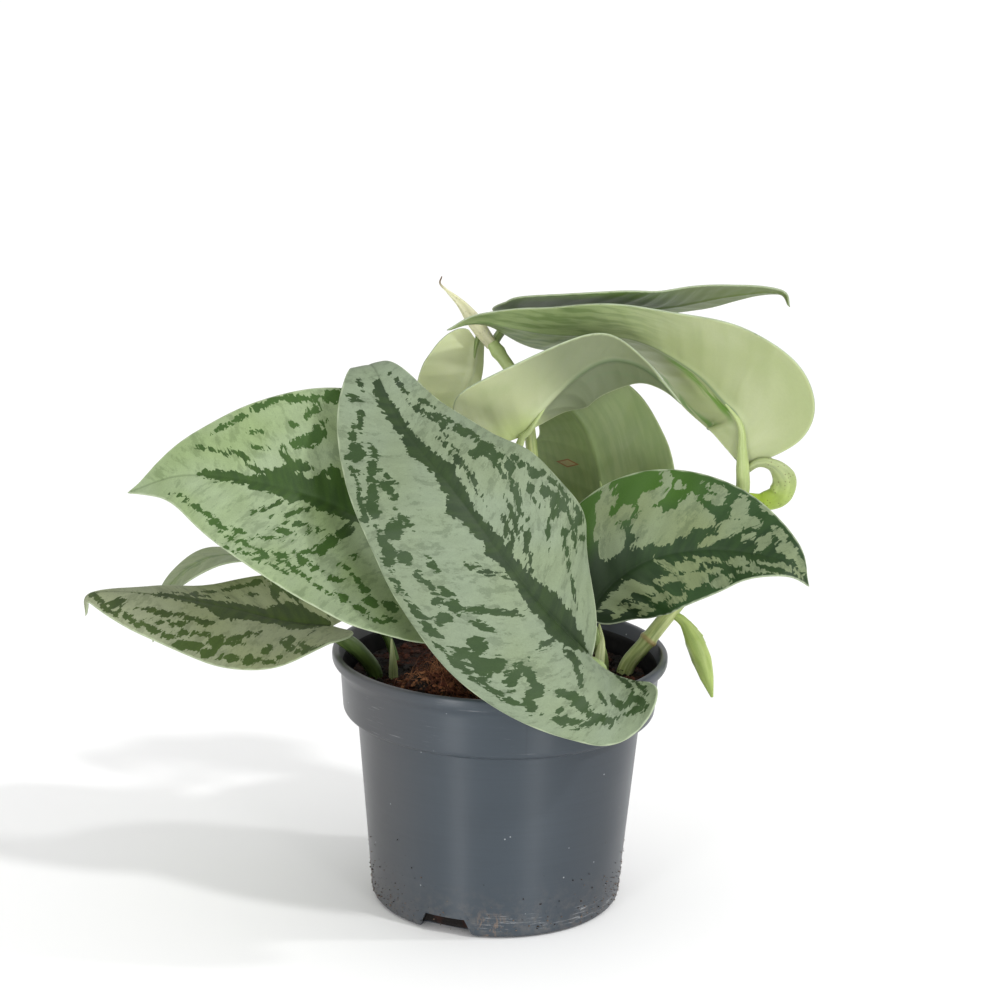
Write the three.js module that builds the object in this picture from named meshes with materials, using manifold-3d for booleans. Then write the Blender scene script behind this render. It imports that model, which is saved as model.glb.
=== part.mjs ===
// A satin pothos, Scindapsus pictus, growing in a thin plastic nursery pot.
// Millimetres, +Z up. The origin is the middle of the pot's flat underside, and the viewer's side is -Y.
import * as THREE from 'three';
import { mergeVertices } from 'three/addons/utils/BufferGeometryUtils.js';
import Module from 'manifold-3d';

const wasm = await Module();
wasm.setup();

// ---------------------------------------------------------------- driving dimensions

const POT_HEIGHT = 92;
const RIM_RADIUS = 60;
const BAND_RADIUS = 56;
const BAND_BOTTOM = 71;
const WALL_TOP_RADIUS = 50.4;
const FOOT_RADIUS = 45;
const WALL = 1.2;
const FLOOR = 1.4;
const ROUND_SEGMENTS = 42;

const NOTCH_COUNT = 3;
const NOTCH_FIRST = -113;        // degrees round from +X
const NOTCH_WIDTH = 22;
const NOTCH_HEIGHT = 6.5;
const NOTCH_SLANT = 3.6;
const NOTCH_REACH = 38;          // radius where a notch begins in the floor

const GAP = 0.3;                 // clearance between pieces that touch
const SOIL_TOP = 81;
const STEM_FOOT = 72;            // depth that the stems reach in the soil
const BLADE = 0.8;               // leaf thickness
const LEAF_ROWS = 13;
const LEAF_COLUMNS = 4;          // on each side of the midrib
const STEM_SIDES = 7;

// Half of a flat blade: [share of the midrib's length, share of the half width]. A heart has a lobe
// behind the petiole, and an oval has none.
const HEART = [
  [0, 0], [-0.085, 0.09], [-0.155, 0.3], [-0.15, 0.56], [-0.07, 0.8], [0.07, 0.955], [0.25, 1],
  [0.45, 0.9], [0.63, 0.68], [0.79, 0.4], [0.9, 0.165], [0.96, 0.055], [1, 0],
];
const OVAL_BASE = [0, 0.01, 0.03, 0.07, 0.13, 0.2, 0.3];

// ---------------------------------------------------------------- materials

function satin(color, roughness) {
  return new THREE.MeshStandardMaterial({ color, roughness, metalness: 0 });
}

const POT_PLASTIC = satin(0x4f555e, 0.42);
const COIR = satin(0x3a2418, 0.95);
const SILVER_LEAF = satin(0x8fa585, 0.55);
const YOUNG_GREEN = satin(0xb4c47a, 0.5);

// ---------------------------------------------------------------- solids

function solid(geometry) {
  geometry.deleteAttribute('normal');
  geometry.deleteAttribute('uv');
  const merged = mergeVertices(geometry, 1e-4);
  const mesh = new wasm.Mesh({
    numProp: 3,
    vertProperties: new Float32Array(merged.attributes.position.array),
    triVerts: new Uint32Array(merged.index.array),
  });
  return new wasm.Manifold(mesh);
}

function join(solids) {
  return solids.slice(1).reduce((all, next) => all.add(next), solids[0]);
}

function named(name, body, material) {
  const data = body.getMesh();
  const geometry = new THREE.BufferGeometry();
  geometry.setAttribute('position', new THREE.BufferAttribute(data.vertProperties, 3));
  geometry.setIndex(new THREE.BufferAttribute(data.triVerts, 1));
  geometry.computeVertexNormals();
  const mesh = new THREE.Mesh(geometry, material);
  mesh.name = name;
  return mesh;
}

function gridGeometry(points, triangles) {
  const geometry = new THREE.BufferGeometry();
  geometry.setFromPoints(points);
  geometry.setIndex(triangles);
  return geometry;
}

// Turned body from [radius, height] pairs that start and end on the axis or close on themselves.
function turned(profile) {
  const points = profile.map(([radius, height]) => new THREE.Vector2(radius, height));
  return new THREE.LatheGeometry(points, ROUND_SEGMENTS).rotateX(Math.PI / 2);
}

// ---------------------------------------------------------------- curves

function vectors(list) {
  return list.map(([x, y, z]) => new THREE.Vector3(x, y, z));
}

function curve(list) {
  return new THREE.CatmullRomCurve3(vectors(list), false, 'catmullrom', 0.5);
}

// Value at share t of the way, from the values at the base, the middle and the tip.
function along3([base, middle, tip], t) {
  return base * (1 - t) * (1 - 2 * t) + 4 * middle * t * (1 - t) + tip * t * (2 * t - 1);
}

// Value at share t of the way along an evenly spaced list.
function alongList(values, t) {
  const place = t * (values.length - 1);
  const index = Math.min(values.length - 2, Math.floor(place));
  return THREE.MathUtils.lerp(values[index], values[index + 1], place - index);
}

// Round stem along a path, its radii spaced evenly from end to end.
function stem(path, radii, extra = 0, steps = 3 * (path.length - 1)) {
  const line = curve(path);
  const frames = line.computeFrenetFrames(steps, false);
  const points = [];
  for (let i = 0; i <= steps; i++) {
    const centre = line.getPointAt(i / steps);
    const radius = alongList(radii, i / steps) + extra;
    for (let j = 0; j < STEM_SIDES; j++) {
      const angle = (2 * Math.PI * j) / STEM_SIDES;
      const out = frames.normals[i].clone().multiplyScalar(radius * Math.cos(angle));
      out.addScaledVector(frames.binormals[i], radius * Math.sin(angle));
      points.push(out.add(centre));
    }
  }
  const triangles = [];
  for (let i = 0; i < steps; i++) {
    for (let j = 0; j < STEM_SIDES; j++) {
      const a = i * STEM_SIDES + j;
      const b = i * STEM_SIDES + ((j + 1) % STEM_SIDES);
      triangles.push(a, b, b + STEM_SIDES, a, b + STEM_SIDES, a + STEM_SIDES);
    }
  }
  const last = steps * STEM_SIDES;
  for (let j = 1; j < STEM_SIDES - 1; j++) {
    triangles.push(0, j + 1, j, last, last + j, last + j + 1);
  }
  return solid(gridGeometry(points, triangles));
}

// ---------------------------------------------------------------- leaf blades

// A flat heart-shaped blade bent over its midrib. rib runs from the petiole to the tip, face is the
// way the upper face looks along it. half and curl are [left, right], each at the base, middle and tip,
// left and right as seen on the upper face with the tip pointing away. lobe goes from 0, an oval base, to
// 1 or more, a heart's lobe, drop turns the lobes, and fold lifts both halves from the midrib.
class Blade {
  constructor(leaf) {
    this.leaf = leaf;
    this.midrib = curve(leaf.rib);
    this.midrib.arcLengthDivisions = 400;
    this.length = this.midrib.getLength();
    this.faces = vectors(leaf.face);
  }

  half(share, side) {
    return Math.max(2, along3(this.leaf.half[side], THREE.MathUtils.clamp(share, 0, 1)));
  }

  // Midrib point, tangent, upper-face normal and left-hand direction. Below 0 it lies in the lobes.
  frame(distance) {
    const share = THREE.MathUtils.clamp(distance / this.length, 0, 1);
    const tangent = this.midrib.getTangentAt(share);
    const place = share * (this.faces.length - 1);
    const index = Math.min(this.faces.length - 2, Math.floor(place));
    const normal = this.faces[index].clone().lerp(this.faces[index + 1], place - index);
    normal.addScaledVector(tangent, -normal.dot(tangent)).normalize();
    const point = this.midrib.getPointAt(share);
    if (distance < 0) {
      const reach = Math.min(1.5, -distance / (0.16 * this.length));
      const drop = THREE.MathUtils.degToRad(this.leaf.drop) * reach;
      point.addScaledVector(tangent, distance * Math.cos(drop / 2));
      point.addScaledVector(normal, distance * Math.sin(drop / 2));
      const turnedTangent = tangent.clone().multiplyScalar(Math.cos(drop));
      turnedTangent.addScaledVector(normal, Math.sin(drop));
      normal.multiplyScalar(Math.cos(drop)).addScaledVector(tangent, -Math.sin(drop));
      tangent.copy(turnedTangent);
    }
    return { point, tangent, normal, left: normal.clone().cross(tangent) };
  }

  // Place in space of a flat point, left of the midrib where across is positive.
  place(distance, across) {
    const { point, normal, left } = this.frame(distance);
    const share = THREE.MathUtils.clamp(distance / this.length, 0, 1);
    const side = across >= 0 ? 0 : 1;
    const width = Math.abs(across);
    const fold = THREE.MathUtils.degToRad(along3(this.leaf.fold, share));
    let bend = THREE.MathUtils.degToRad(along3(this.leaf.curl[side], share)) / this.half(share, side);
    if (Math.abs(bend) < 1e-6) {
      bend = 1e-6;
    }
    const out = (Math.sin(fold + bend * width) - Math.sin(fold)) / bend;
    const up = (Math.cos(fold) - Math.cos(fold + bend * width)) / bend;
    return point.addScaledVector(left, side === 0 ? out : -out).addScaledVector(normal, up);
  }

  // Flat outline of one half, from the petiole to the tip.
  outline(side) {
    const lobe = this.leaf.lobe[side];
    return curve(HEART.map(([along, across], i) => {
      const oval = OVAL_BASE[i] ?? along;
      return [THREE.MathUtils.lerp(oval, along, lobe), across, 0];
    }));
  }

  // Rows of points from one margin to the other. Each half of a row is straight in the flat blade.
  rows() {
    const outlines = [this.outline(0), this.outline(1)];
    const count = this.leaf.rows ?? LEAF_ROWS;
    const rows = [];
    for (let k = 0; k < count; k++) {
      const start = (k / count) ** 1.7;
      const row = [];
      for (let j = -LEAF_COLUMNS; j <= LEAF_COLUMNS; j++) {
        const side = j > 0 ? 1 : 0;
        const edge = outlines[side].getPointAt(0.1 + (0.9 * k) / count);
        const across = Math.abs(j) / LEAF_COLUMNS;
        const share = THREE.MathUtils.lerp(start, edge.x, across);
        const width = edge.y * across * this.half(share, side);
        row.push(this.place(share * this.length, side === 0 ? width : -width));
      }
      rows.push(row);
    }
    return rows;
  }

  // Closed shell of the blade, BLADE thick, both faces split into triangles alike.
  body() {
    const rows = this.rows();
    const tip = this.place(this.length, 0);
    const columns = 2 * LEAF_COLUMNS + 1;
    const middle = rows.flat().concat([tip]);
    const faces = [];
    for (let i = 0; i < rows.length - 1; i++) {
      for (let j = 0; j < columns - 1; j++) {
        const a = i * columns + j;
        faces.push([a, a + columns, a + 1], [a + 1, a + columns, a + columns + 1]);
      }
    }
    const lastRow = (rows.length - 1) * columns;
    for (let j = 0; j < columns - 1; j++) {
      faces.push([lastRow + j, middle.length - 1, lastRow + j + 1]);
    }
    const sheet = gridGeometry(middle, faces.flat());
    sheet.computeVertexNormals();
    const normals = sheet.attributes.normal;
    const shift = (sign) => middle.map((point, i) => {
      const normal = new THREE.Vector3().fromBufferAttribute(normals, i);
      return point.clone().addScaledVector(normal, (sign * BLADE) / 2);
    });
    const rim = [];
    for (let j = 0; j < columns; j++) {
      rim.push(j);
    }
    for (let i = 1; i < rows.length; i++) {
      rim.push(i * columns + columns - 1);
    }
    rim.push(middle.length - 1);
    for (let i = rows.length - 1; i > 0; i--) {
      rim.push(i * columns);
    }
    const count = middle.length;
    const triangles = [];
    for (const [a, b, c] of faces) {
      triangles.push(a, b, c, count + a, count + c, count + b);
    }
    rim.forEach((a, i) => {
      const b = rim[(i + 1) % rim.length];
      triangles.push(a, b, count + b, a, count + b, count + a);
    });
    return solid(gridGeometry([...shift(1), ...shift(-1)], triangles));
  }

  // Petiole from below, running out as a ridge under the midrib. extra widens it.
  petiole(extra = 0) {
    const { petiole: path, stalk: radius } = this.leaf;
    const ridge = [0, 0.1, 0.22].map((share) => {
      const { point, normal } = this.frame(share * this.length);
      return point.addScaledVector(normal, -0.4).toArray();
    });
    const whole = [...path, ...ridge];
    const radii = whole.map((_, i) => radius * (i < path.length ? 1 : 0.85 - 0.3 * (i - path.length)));
    return stem(whole, radii, extra, 2 * (whole.length - 1));
  }
}

function leafBody(leaf) {
  const blade = new Blade(leaf);
  return join([blade.body(), blade.petiole()]);
}

// ---------------------------------------------------------------- the leaves, each from its petiole to its tip

const LEAF_FRONT = {
  rib: [[31, -41, 102], [9, -57, 130], [-16, -54, 162], [-35, -35, 181], [-45, -19, 197], [-50, -3, 191]],
  face: [[-0.01, -0.56, 0.8], [0.23, -0.86, 0.49], [-0.05, -0.37, 0.93]],
  half: [[42.5, 41.4, 49], [24, 39, 32]],
  fold: [42, 6, 4],
  curl: [[-84, -63, 2], [-41, -39, -54]],
  lobe: [1.13, 0],
  drop: -91,
  petiole: [[36, -20, STEM_FOOT], [36, -21, 80], [35, -32, 95]],
  stalk: 2,
  rows: 15,
};

const LEAF_LEFT = {
  rib: [[-21, -18, 127], [-52, -26, 147], [-76, -31, 157], [-107, -29, 160], [-128, -27, 153]],
  face: [[0.1, -0.7, 0.7], [-0.15, -0.85, 0.5], [-0.3, -0.6, 0.75]],
  half: [[42, 44, 45], [45, 43, 42]],
  fold: [10, 10, 3],
  curl: [[10, 20, 0], [-20, 0, 0]],
  lobe: [0.8, 0.6],
  drop: -10,
  petiole: [[-14, -8, STEM_FOOT], [-13, -10, 90], [-14, -14, 110]],
  stalk: 2,
};

const LEAF_LOW_LEFT = {
  rib: [[-60, -7, 101], [-77, -8, 103], [-97, -13, 109], [-122, -19, 115], [-143, -17, 114],
    [-145, -17, 106]],
  face: [[0.21, -0.35, 0.91], [-0.12, -0.39, 0.91], [-0.3, -0.26, 0.92]],
  half: [[23, 28, 34], [29, 15, 2]],
  fold: [25, -5, -2],
  curl: [[-14, -32, -12], [8, -12, 4]],
  lobe: [0.6, 0.7],
  drop: 0,
  petiole: [[-45, 1, STEM_FOOT], [-46, 0, 86], [-52, -5, 98]],
  stalk: 1.8,
};

const LEAF_BACK_LEFT = {
  rib: [[-73, 25, 110], [-90, 20, 118], [-105, 16, 119], [-117, 12, 112], [-123, 8, 101], [-125, 5, 90]],
  face: [[0, 0.2, 0.97], [-0.3, -0.02, 0.95], [-0.89, -0.3, 0.27]],
  half: [[8, 17, 22], [14, 17, 22]],
  fold: [0, 0, 0],
  curl: [[0, 0, 0], [0, 0, 0]],
  lobe: [0.6, 0.6],
  drop: 0,
  petiole: [[-36, 18, STEM_FOOT], [-43, 20, 92], [-57, 24, 103]],
  stalk: 1.6,
};

const LEAF_RIGHT = {
  rib: [[31, -8, 108], [39, -8, 119], [51, -9, 128], [66, -10, 132], [82, -13, 133], [99, -20, 131],
    [107, -17, 122]],
  face: [[0.4, -0.85, 0.3], [0.35, -0.78, 0.52], [0.4, -0.73, 0.56]],
  half: [[25, 33, 33], [17, 22, 26]],
  fold: [13, 13, 7],
  curl: [[-18, -11, 0], [-9, -19, 0]],
  lobe: [1, 0.2],
  drop: 0,
  petiole: [[37, 9, STEM_FOOT], [37, 6, 86], [34, -2, 97]],
  stalk: 2.2,
};

const LEAF_MIDDLE = {
  rib: [[5, -3, 170], [15, -4, 183], [26, -1, 193], [37, 5, 197], [49, 5, 194], [57, 5, 187], [62, 6, 181]],
  face: [[-0.29, 0.82, 0.41], [-0.39, 0.68, 0.83], [-0.05, 0.8, 0.44], [0.26, 0.71, 0.57],
    [0.44, 0.54, 0.72]],
  half: [[6, 25, 12], [32, 18, -7]],
  fold: [11, 0, 3],
  curl: [[20, 8, -2], [7, -3, -2]],
  lobe: [-0.2, 1],
  drop: 0,
  petiole: [[6, 2, STEM_FOOT], [2, 0, 118], [3, -3, 155]],
  stalk: 2.4,
};

const LEAF_BACK = {
  rib: [[37, 30, 138], [34, 27, 153], [29, 25, 168], [20, 24, 178], [5, 20, 188]],
  face: [[0.1, 0.95, 0.1], [0, 0.95, 0.33], [0, 0.86, 0.5]],
  half: [[29, 27, 26], [27, 23, 24]],
  fold: [10, 15, 10],
  curl: [[5, 20, 0], [10, 20, 0]],
  lobe: [1, 1],
  drop: 0,
  petiole: [[28, 22, STEM_FOOT], [34, 26, 100], [38, 30, 125]],
  stalk: 2,
};

const LEAF_ARCH = {
  rib: [[85, 10, 158], [83, 9, 175], [77, 11, 182], [65, 12, 193], [44, 13, 203],
    [14, 11, 204.5], [-9, 10, 208], [-21, 10, 205]],
  face: [[0.15, 0.93, 0.31], [0.2, 0.75, 0.55], [0.22, 0.54, 0.84], [0.08, 0.7, 0.64], [-0.02, 0.46, 0.87]],
  half: [[41, 24, 33], [11, 32, 32]],
  fold: [11, 7, 19],
  curl: [[9, 2, 4], [5, 26, -10]],
  lobe: [0, 0],
  drop: 0,
  petiole: [[83, 10, 142], [85, 9, 150]],
  stalk: 2.5,
  rows: 18,
};

const LEAF_TOP = {
  rib: [[6, 31, 208], [27, 25, 211], [55, 26, 212], [79, 24, 217], [96, 21, 219], [100, 20, 214]],
  face: [[0.2, 0.4, 0.9], [0, 0.33, 0.94], [-0.1, 0.4, 0.91]],
  half: [[29, 28, 27], [27, 28, 27]],
  fold: [-8, 3, 3],
  curl: [[0, 0, 0], [0, 0, 0]],
  lobe: [0.8, 0.6],
  drop: -10,
  petiole: [[-5, 20, 198], [-1, 26, 203]],
  stalk: 1.6,
};

const LEAF_FAR_LEFT = {
  rib: [[-11, 25, 199], [-13, 18, 187], [-20, 18, 171], [-26, 20, 152]],
  face: [[-0.2, 0.8, 0.56], [0, 0.93, 0.36], [0, 0.95, 0.32]],
  half: [[14, 18, 19], [6, 7, 18]],
  fold: [10, 10, 10],
  curl: [[10, 10, 0], [10, 10, 0]],
  lobe: [0.45, 0.55],
  drop: 8,
  petiole: [[-4, 20, 197], [-9, 25, 201]],
  stalk: 1.4,
};

// ---------------------------------------------------------------- stems and young growth, [path, radii]

const RIGHT_STEM = [
  [[44, 6, STEM_FOOT], [46, 7, 84], [52, 8, 92], [62, 10, 105], [72, 12, 118], [80, 12, 132], [84, 10, 146]],
  [2.9, 2.9, 2.8, 2.8, 2.7, 2.6, 2.6],
];
const CURLED_LEAF = [
  [[84, 10, 155], [90, 8, 160], [96, 8, 159], [100, 9, 153.5], [98, 10, 147.5], [92, 10, 145.5],
    [87, 10, 147]],
  [1.3, 1.6, 2.4, 4.4, 4.6, 3.6, 1.6],
];
const ROLLED_LEAF = [
  [[60, 10, 104], [65.5, 8, 101], [69.5, 6, 95], [72.7, 5, 88], [75.2, 5, 80], [77, 5, 73.6]],
  [1.2, 1.8, 3.3, 3.3, 2.4, 0.6],
];
const CENTRE_STEM = [
  [[12, 14, STEM_FOOT], [11, 14, 120], [10, 13, 160], [5, 15, 184], [-5, 20, 199]],
  [2.3, 2.2, 2.1, 2.1, 2.2],
];
const SHOOT_SHEATH = [
  [[-5, 20, 198], [-10.5, 20, 205], [-16, 20, 212.3], [-21, 20, 217], [-23.5, 20, 220.5]],
  [2.4, 3.2, 2.8, 1.4, 0.4],
];
const CATAPHYLL = [
  [[36, 5, STEM_FOOT], [36, 4, 86], [34, 3, 100]],
  [2.6, 2.4, 0.4],
];
const SOIL_SHOOT = [
  [[-38, -3, STEM_FOOT], [-38, -3, 84], [-37, -3, 95]],
  [2.4, 2.2, 0.4],
];

// ---------------------------------------------------------------- pot and soil

// Trapezoid prism that cuts one drain notch through the foot of the wall and the edge of the floor.
function notch(angle) {
  const shape = new THREE.Shape();
  shape.moveTo(-NOTCH_WIDTH / 2, -1);
  shape.lineTo(NOTCH_WIDTH / 2, -1);
  shape.lineTo(NOTCH_WIDTH / 2 - NOTCH_SLANT, NOTCH_HEIGHT);
  shape.lineTo(-NOTCH_WIDTH / 2 + NOTCH_SLANT, NOTCH_HEIGHT);
  shape.closePath();
  const depth = FOOT_RADIUS + 5 - NOTCH_REACH;
  const prism = new THREE.ExtrudeGeometry(shape, { depth, bevelEnabled: false });
  prism.translate(0, 0, NOTCH_REACH);
  prism.rotateX(Math.PI / 2).rotateZ(THREE.MathUtils.degToRad(angle + 90));
  return solid(prism);
}

function nurseryPot() {
  const foot = FOOT_RADIUS;
  const pot = solid(turned([
    [0, 0], [foot - 2, 0], [foot - 0.5, 1], [foot, 3],
    [WALL_TOP_RADIUS, 64], [WALL_TOP_RADIUS + 0.4, 66], [BAND_RADIUS - 1.2, BAND_BOTTOM], [BAND_RADIUS, 74],
    [BAND_RADIUS + 0.8, 84], [BAND_RADIUS + 1.6, 87], [RIM_RADIUS - 0.4, 89], [RIM_RADIUS, 90.5],
    [RIM_RADIUS - 0.6, POT_HEIGHT], [RIM_RADIUS - 2.2, POT_HEIGHT], [BAND_RADIUS - 0.2, 86.5],
    [BAND_RADIUS - WALL, 74.6], [BAND_RADIUS - WALL - 1.4, BAND_BOTTOM + 0.8],
    [WALL_TOP_RADIUS - WALL + 0.3, 66.5], [WALL_TOP_RADIUS - WALL, 64],
    [foot - WALL, 3.2], [foot - WALL - 1, FLOOR], [0, FLOOR],
  ]));
  const notches = [];
  for (let i = 0; i < NOTCH_COUNT; i++) {
    notches.push(notch(NOTCH_FIRST + (360 * i) / NOTCH_COUNT));
  }
  return pot.subtract(join(notches));
}

// Height of the loose coir: a low mound behind the front of the rim, and shallow unevenness.
function soilHeight(x, y) {
  const mound = 4 * Math.exp(-((x + 18) ** 2 + (y + 30) ** 2) / 260);
  return SOIL_TOP + mound + 0.7 * Math.sin(x / 6) * Math.cos(y / 7);
}

function pottingSoil(holes) {
  const inner = BAND_RADIUS - WALL - GAP;
  const geometry = turned([
    [0, FLOOR + GAP], [FOOT_RADIUS - WALL - 1.6, FLOOR + GAP], [FOOT_RADIUS - WALL - 0.4, 3.4],
    [WALL_TOP_RADIUS - WALL - GAP, 64], [WALL_TOP_RADIUS - WALL - GAP, 67], [inner - 1.6, BAND_BOTTOM + 1.6],
    [inner, 75.5], [inner, SOIL_TOP - 1], [45, SOIL_TOP], [30, SOIL_TOP], [15, SOIL_TOP],
    [0, SOIL_TOP],
  ]);
  const position = geometry.attributes.position;
  for (let i = 0; i < position.count; i++) {
    const x = position.getX(i);
    const y = position.getY(i);
    if (position.getZ(i) === Math.fround(SOIL_TOP)) {
      position.setZ(i, soilHeight(x, y));
    }
  }
  return solid(geometry).subtract(join(holes));
}

// Plain hole for a buried stalk: the stalk made wider, and deeper at its foot.
function hole(widened, [x, y, z], radius) {
  const foot = new THREE.CylinderGeometry(radius + 2 * GAP, radius + 2 * GAP, 6 * GAP, STEM_SIDES);
  foot.rotateX(Math.PI / 2).translate(x, y, z - GAP);
  return widened.add(solid(foot));
}

function leafHole(leaf) {
  return hole(new Blade(leaf).petiole(GAP), leaf.petiole[0], leaf.stalk);
}

function stemHole([path, radii]) {
  return hole(stem(path, radii, GAP), path[0], radii[0]);
}

// ---------------------------------------------------------------- assembly

const rightVine = [
  stem(...RIGHT_STEM), leafBody(LEAF_ARCH), stem(...CURLED_LEAF), stem(...ROLLED_LEAF),
];
const centreVine = [
  stem(...CENTRE_STEM), leafBody(LEAF_TOP), leafBody(LEAF_FAR_LEFT), stem(...SHOOT_SHEATH),
];
const holes = [
  ...[LEAF_FRONT, LEAF_LEFT, LEAF_LOW_LEFT, LEAF_BACK_LEFT, LEAF_RIGHT, LEAF_MIDDLE, LEAF_BACK].map(leafHole),
  ...[RIGHT_STEM, CENTRE_STEM, CATAPHYLL, SOIL_SHOOT].map(stemHole),
];

const plant = new THREE.Group();
plant.add(
  named('nursery_pot', nurseryPot(), POT_PLASTIC),
  named('potting_soil', pottingSoil(holes), COIR),
  named('leaf_front', leafBody(LEAF_FRONT), SILVER_LEAF),
  named('leaf_left', leafBody(LEAF_LEFT), SILVER_LEAF),
  named('leaf_low_left', leafBody(LEAF_LOW_LEFT), SILVER_LEAF),
  named('leaf_back_left', leafBody(LEAF_BACK_LEFT), SILVER_LEAF),
  named('leaf_right', join([leafBody(LEAF_RIGHT), stem(...CATAPHYLL)]), SILVER_LEAF),
  named('leaf_middle', leafBody(LEAF_MIDDLE), SILVER_LEAF),
  named('leaf_back', leafBody(LEAF_BACK), SILVER_LEAF),
  named('vine_right', join(rightVine), YOUNG_GREEN),
  named('vine_centre', join(centreVine), YOUNG_GREEN),
  named('soil_shoot', stem(...SOIL_SHOOT), YOUNG_GREEN),
);

export default plant;
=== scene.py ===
"""Looks of a satin pothos, Scindapsus pictus, in its nursery pot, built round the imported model.

Lengths are in millimetres up to make_piece(), which turns them into Blender's metres.
"""
import math
import random

import bpy
import numpy as np
from mathutils import Matrix, Vector


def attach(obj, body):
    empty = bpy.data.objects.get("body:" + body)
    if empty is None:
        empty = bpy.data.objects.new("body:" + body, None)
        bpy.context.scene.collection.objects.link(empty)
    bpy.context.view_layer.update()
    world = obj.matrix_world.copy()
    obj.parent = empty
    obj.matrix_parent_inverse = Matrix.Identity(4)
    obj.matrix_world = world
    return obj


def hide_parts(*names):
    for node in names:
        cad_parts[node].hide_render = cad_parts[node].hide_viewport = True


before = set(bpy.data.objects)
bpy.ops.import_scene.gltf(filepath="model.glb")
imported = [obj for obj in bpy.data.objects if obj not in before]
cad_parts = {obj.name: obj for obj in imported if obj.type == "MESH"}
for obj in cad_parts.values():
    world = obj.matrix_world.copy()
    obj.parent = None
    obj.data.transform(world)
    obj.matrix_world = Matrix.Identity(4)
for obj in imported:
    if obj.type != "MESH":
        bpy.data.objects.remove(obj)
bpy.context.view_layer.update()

MM = 0.001
BODY = "root"

# ------------------------------------------------------------------ pot and soil, with a higher mound than the CAD's

# Corners of the pot's half section as (radius, height, rounding). Those up to LAST_OUTSIDE are outside.
POT_CORNERS = [
    (0, 0, 0), (44.75, 0, 2.5), (50.75, 68.2, 0.3), (55.8, 70.4, 1.6), (56.9, 85.5, 1.5), (59.9, 88.7, 1.1),
    (59.95, 92, 1.2), (57.6, 92, 0.6), (55.8, 86.5, 1), (54.8, 73.6, 1.5), (49.4, 66.8, 1), (43.75, 1.4, 1.6),
    (0, 1.4, 0),
]
LAST_OUTSIDE = 7
POT_SEGMENTS = 216
NOTCH_ANGLES = (-113, 7, 127)    # degrees round from +X
NOTCH_WIDTH = 22
NOTCH_HEIGHT = 6.5
NOTCH_SLANT = 3.6
NOTCH_RADII = (38, 52)           # the cutter's ends, inside and outside the wall
WALL_ENDS = ((1, 44.9), (66, 50.65))    # (height, radius) low and high on the outer wall
SHARP_EDGE = 50                  # degrees
SOIL_RADIUS = 54
SOIL_TOP = 81
MOUND = (-20, -36)               # x and y of the mound's top
MOUND_HEIGHT = 14
LIGHT_COIR_SPOT = (-20, -38)            # x and y of the middle of the light coir; away from it the coir is painted darker as shade
SKIRT_RADIUS = 49                # where the modelled top of the coir ends below
SKIRT_HEIGHT = 66.8
CORE = [(0, 1.7), (41.2, 1.7), (43.3, 3.6), (48.9, 64), (48.9, 66.4), (0, 66.4)]    # (radius, height)
CRUMBS = 3200
CRUMB_REACH = 52
FIBRES = 900
FIBRE_REACH = 49                 # where a fibre starts
FIBRE_LIMIT = 52.5               # how far out it may run
SPECKS = 700

# ------------------------------------------------------------------ leaves

HEART = [
    (0, 0), (-0.085, 0.09), (-0.155, 0.3), (-0.15, 0.56), (-0.07, 0.8), (0.07, 0.955), (0.25, 1),
    (0.45, 0.9), (0.63, 0.68), (0.79, 0.4), (0.9, 0.165), (0.96, 0.055), (1, 0),
]
OVAL_BASE = (0, 0.01, 0.03, 0.07, 0.13, 0.2, 0.3)
BLADE = 0.62                     # thickness
VEIN_LEAN = 0.55                 # how far a side vein runs forward for each mm outwards
VEIN_STEP = 8.5                  # between side veins, along the midrib
BLEMISH = (23.2, 153.4)          # x and z of the small brown mark on leaf_back
BLEMISH_HALF = (3.6, 1.5)

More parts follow.
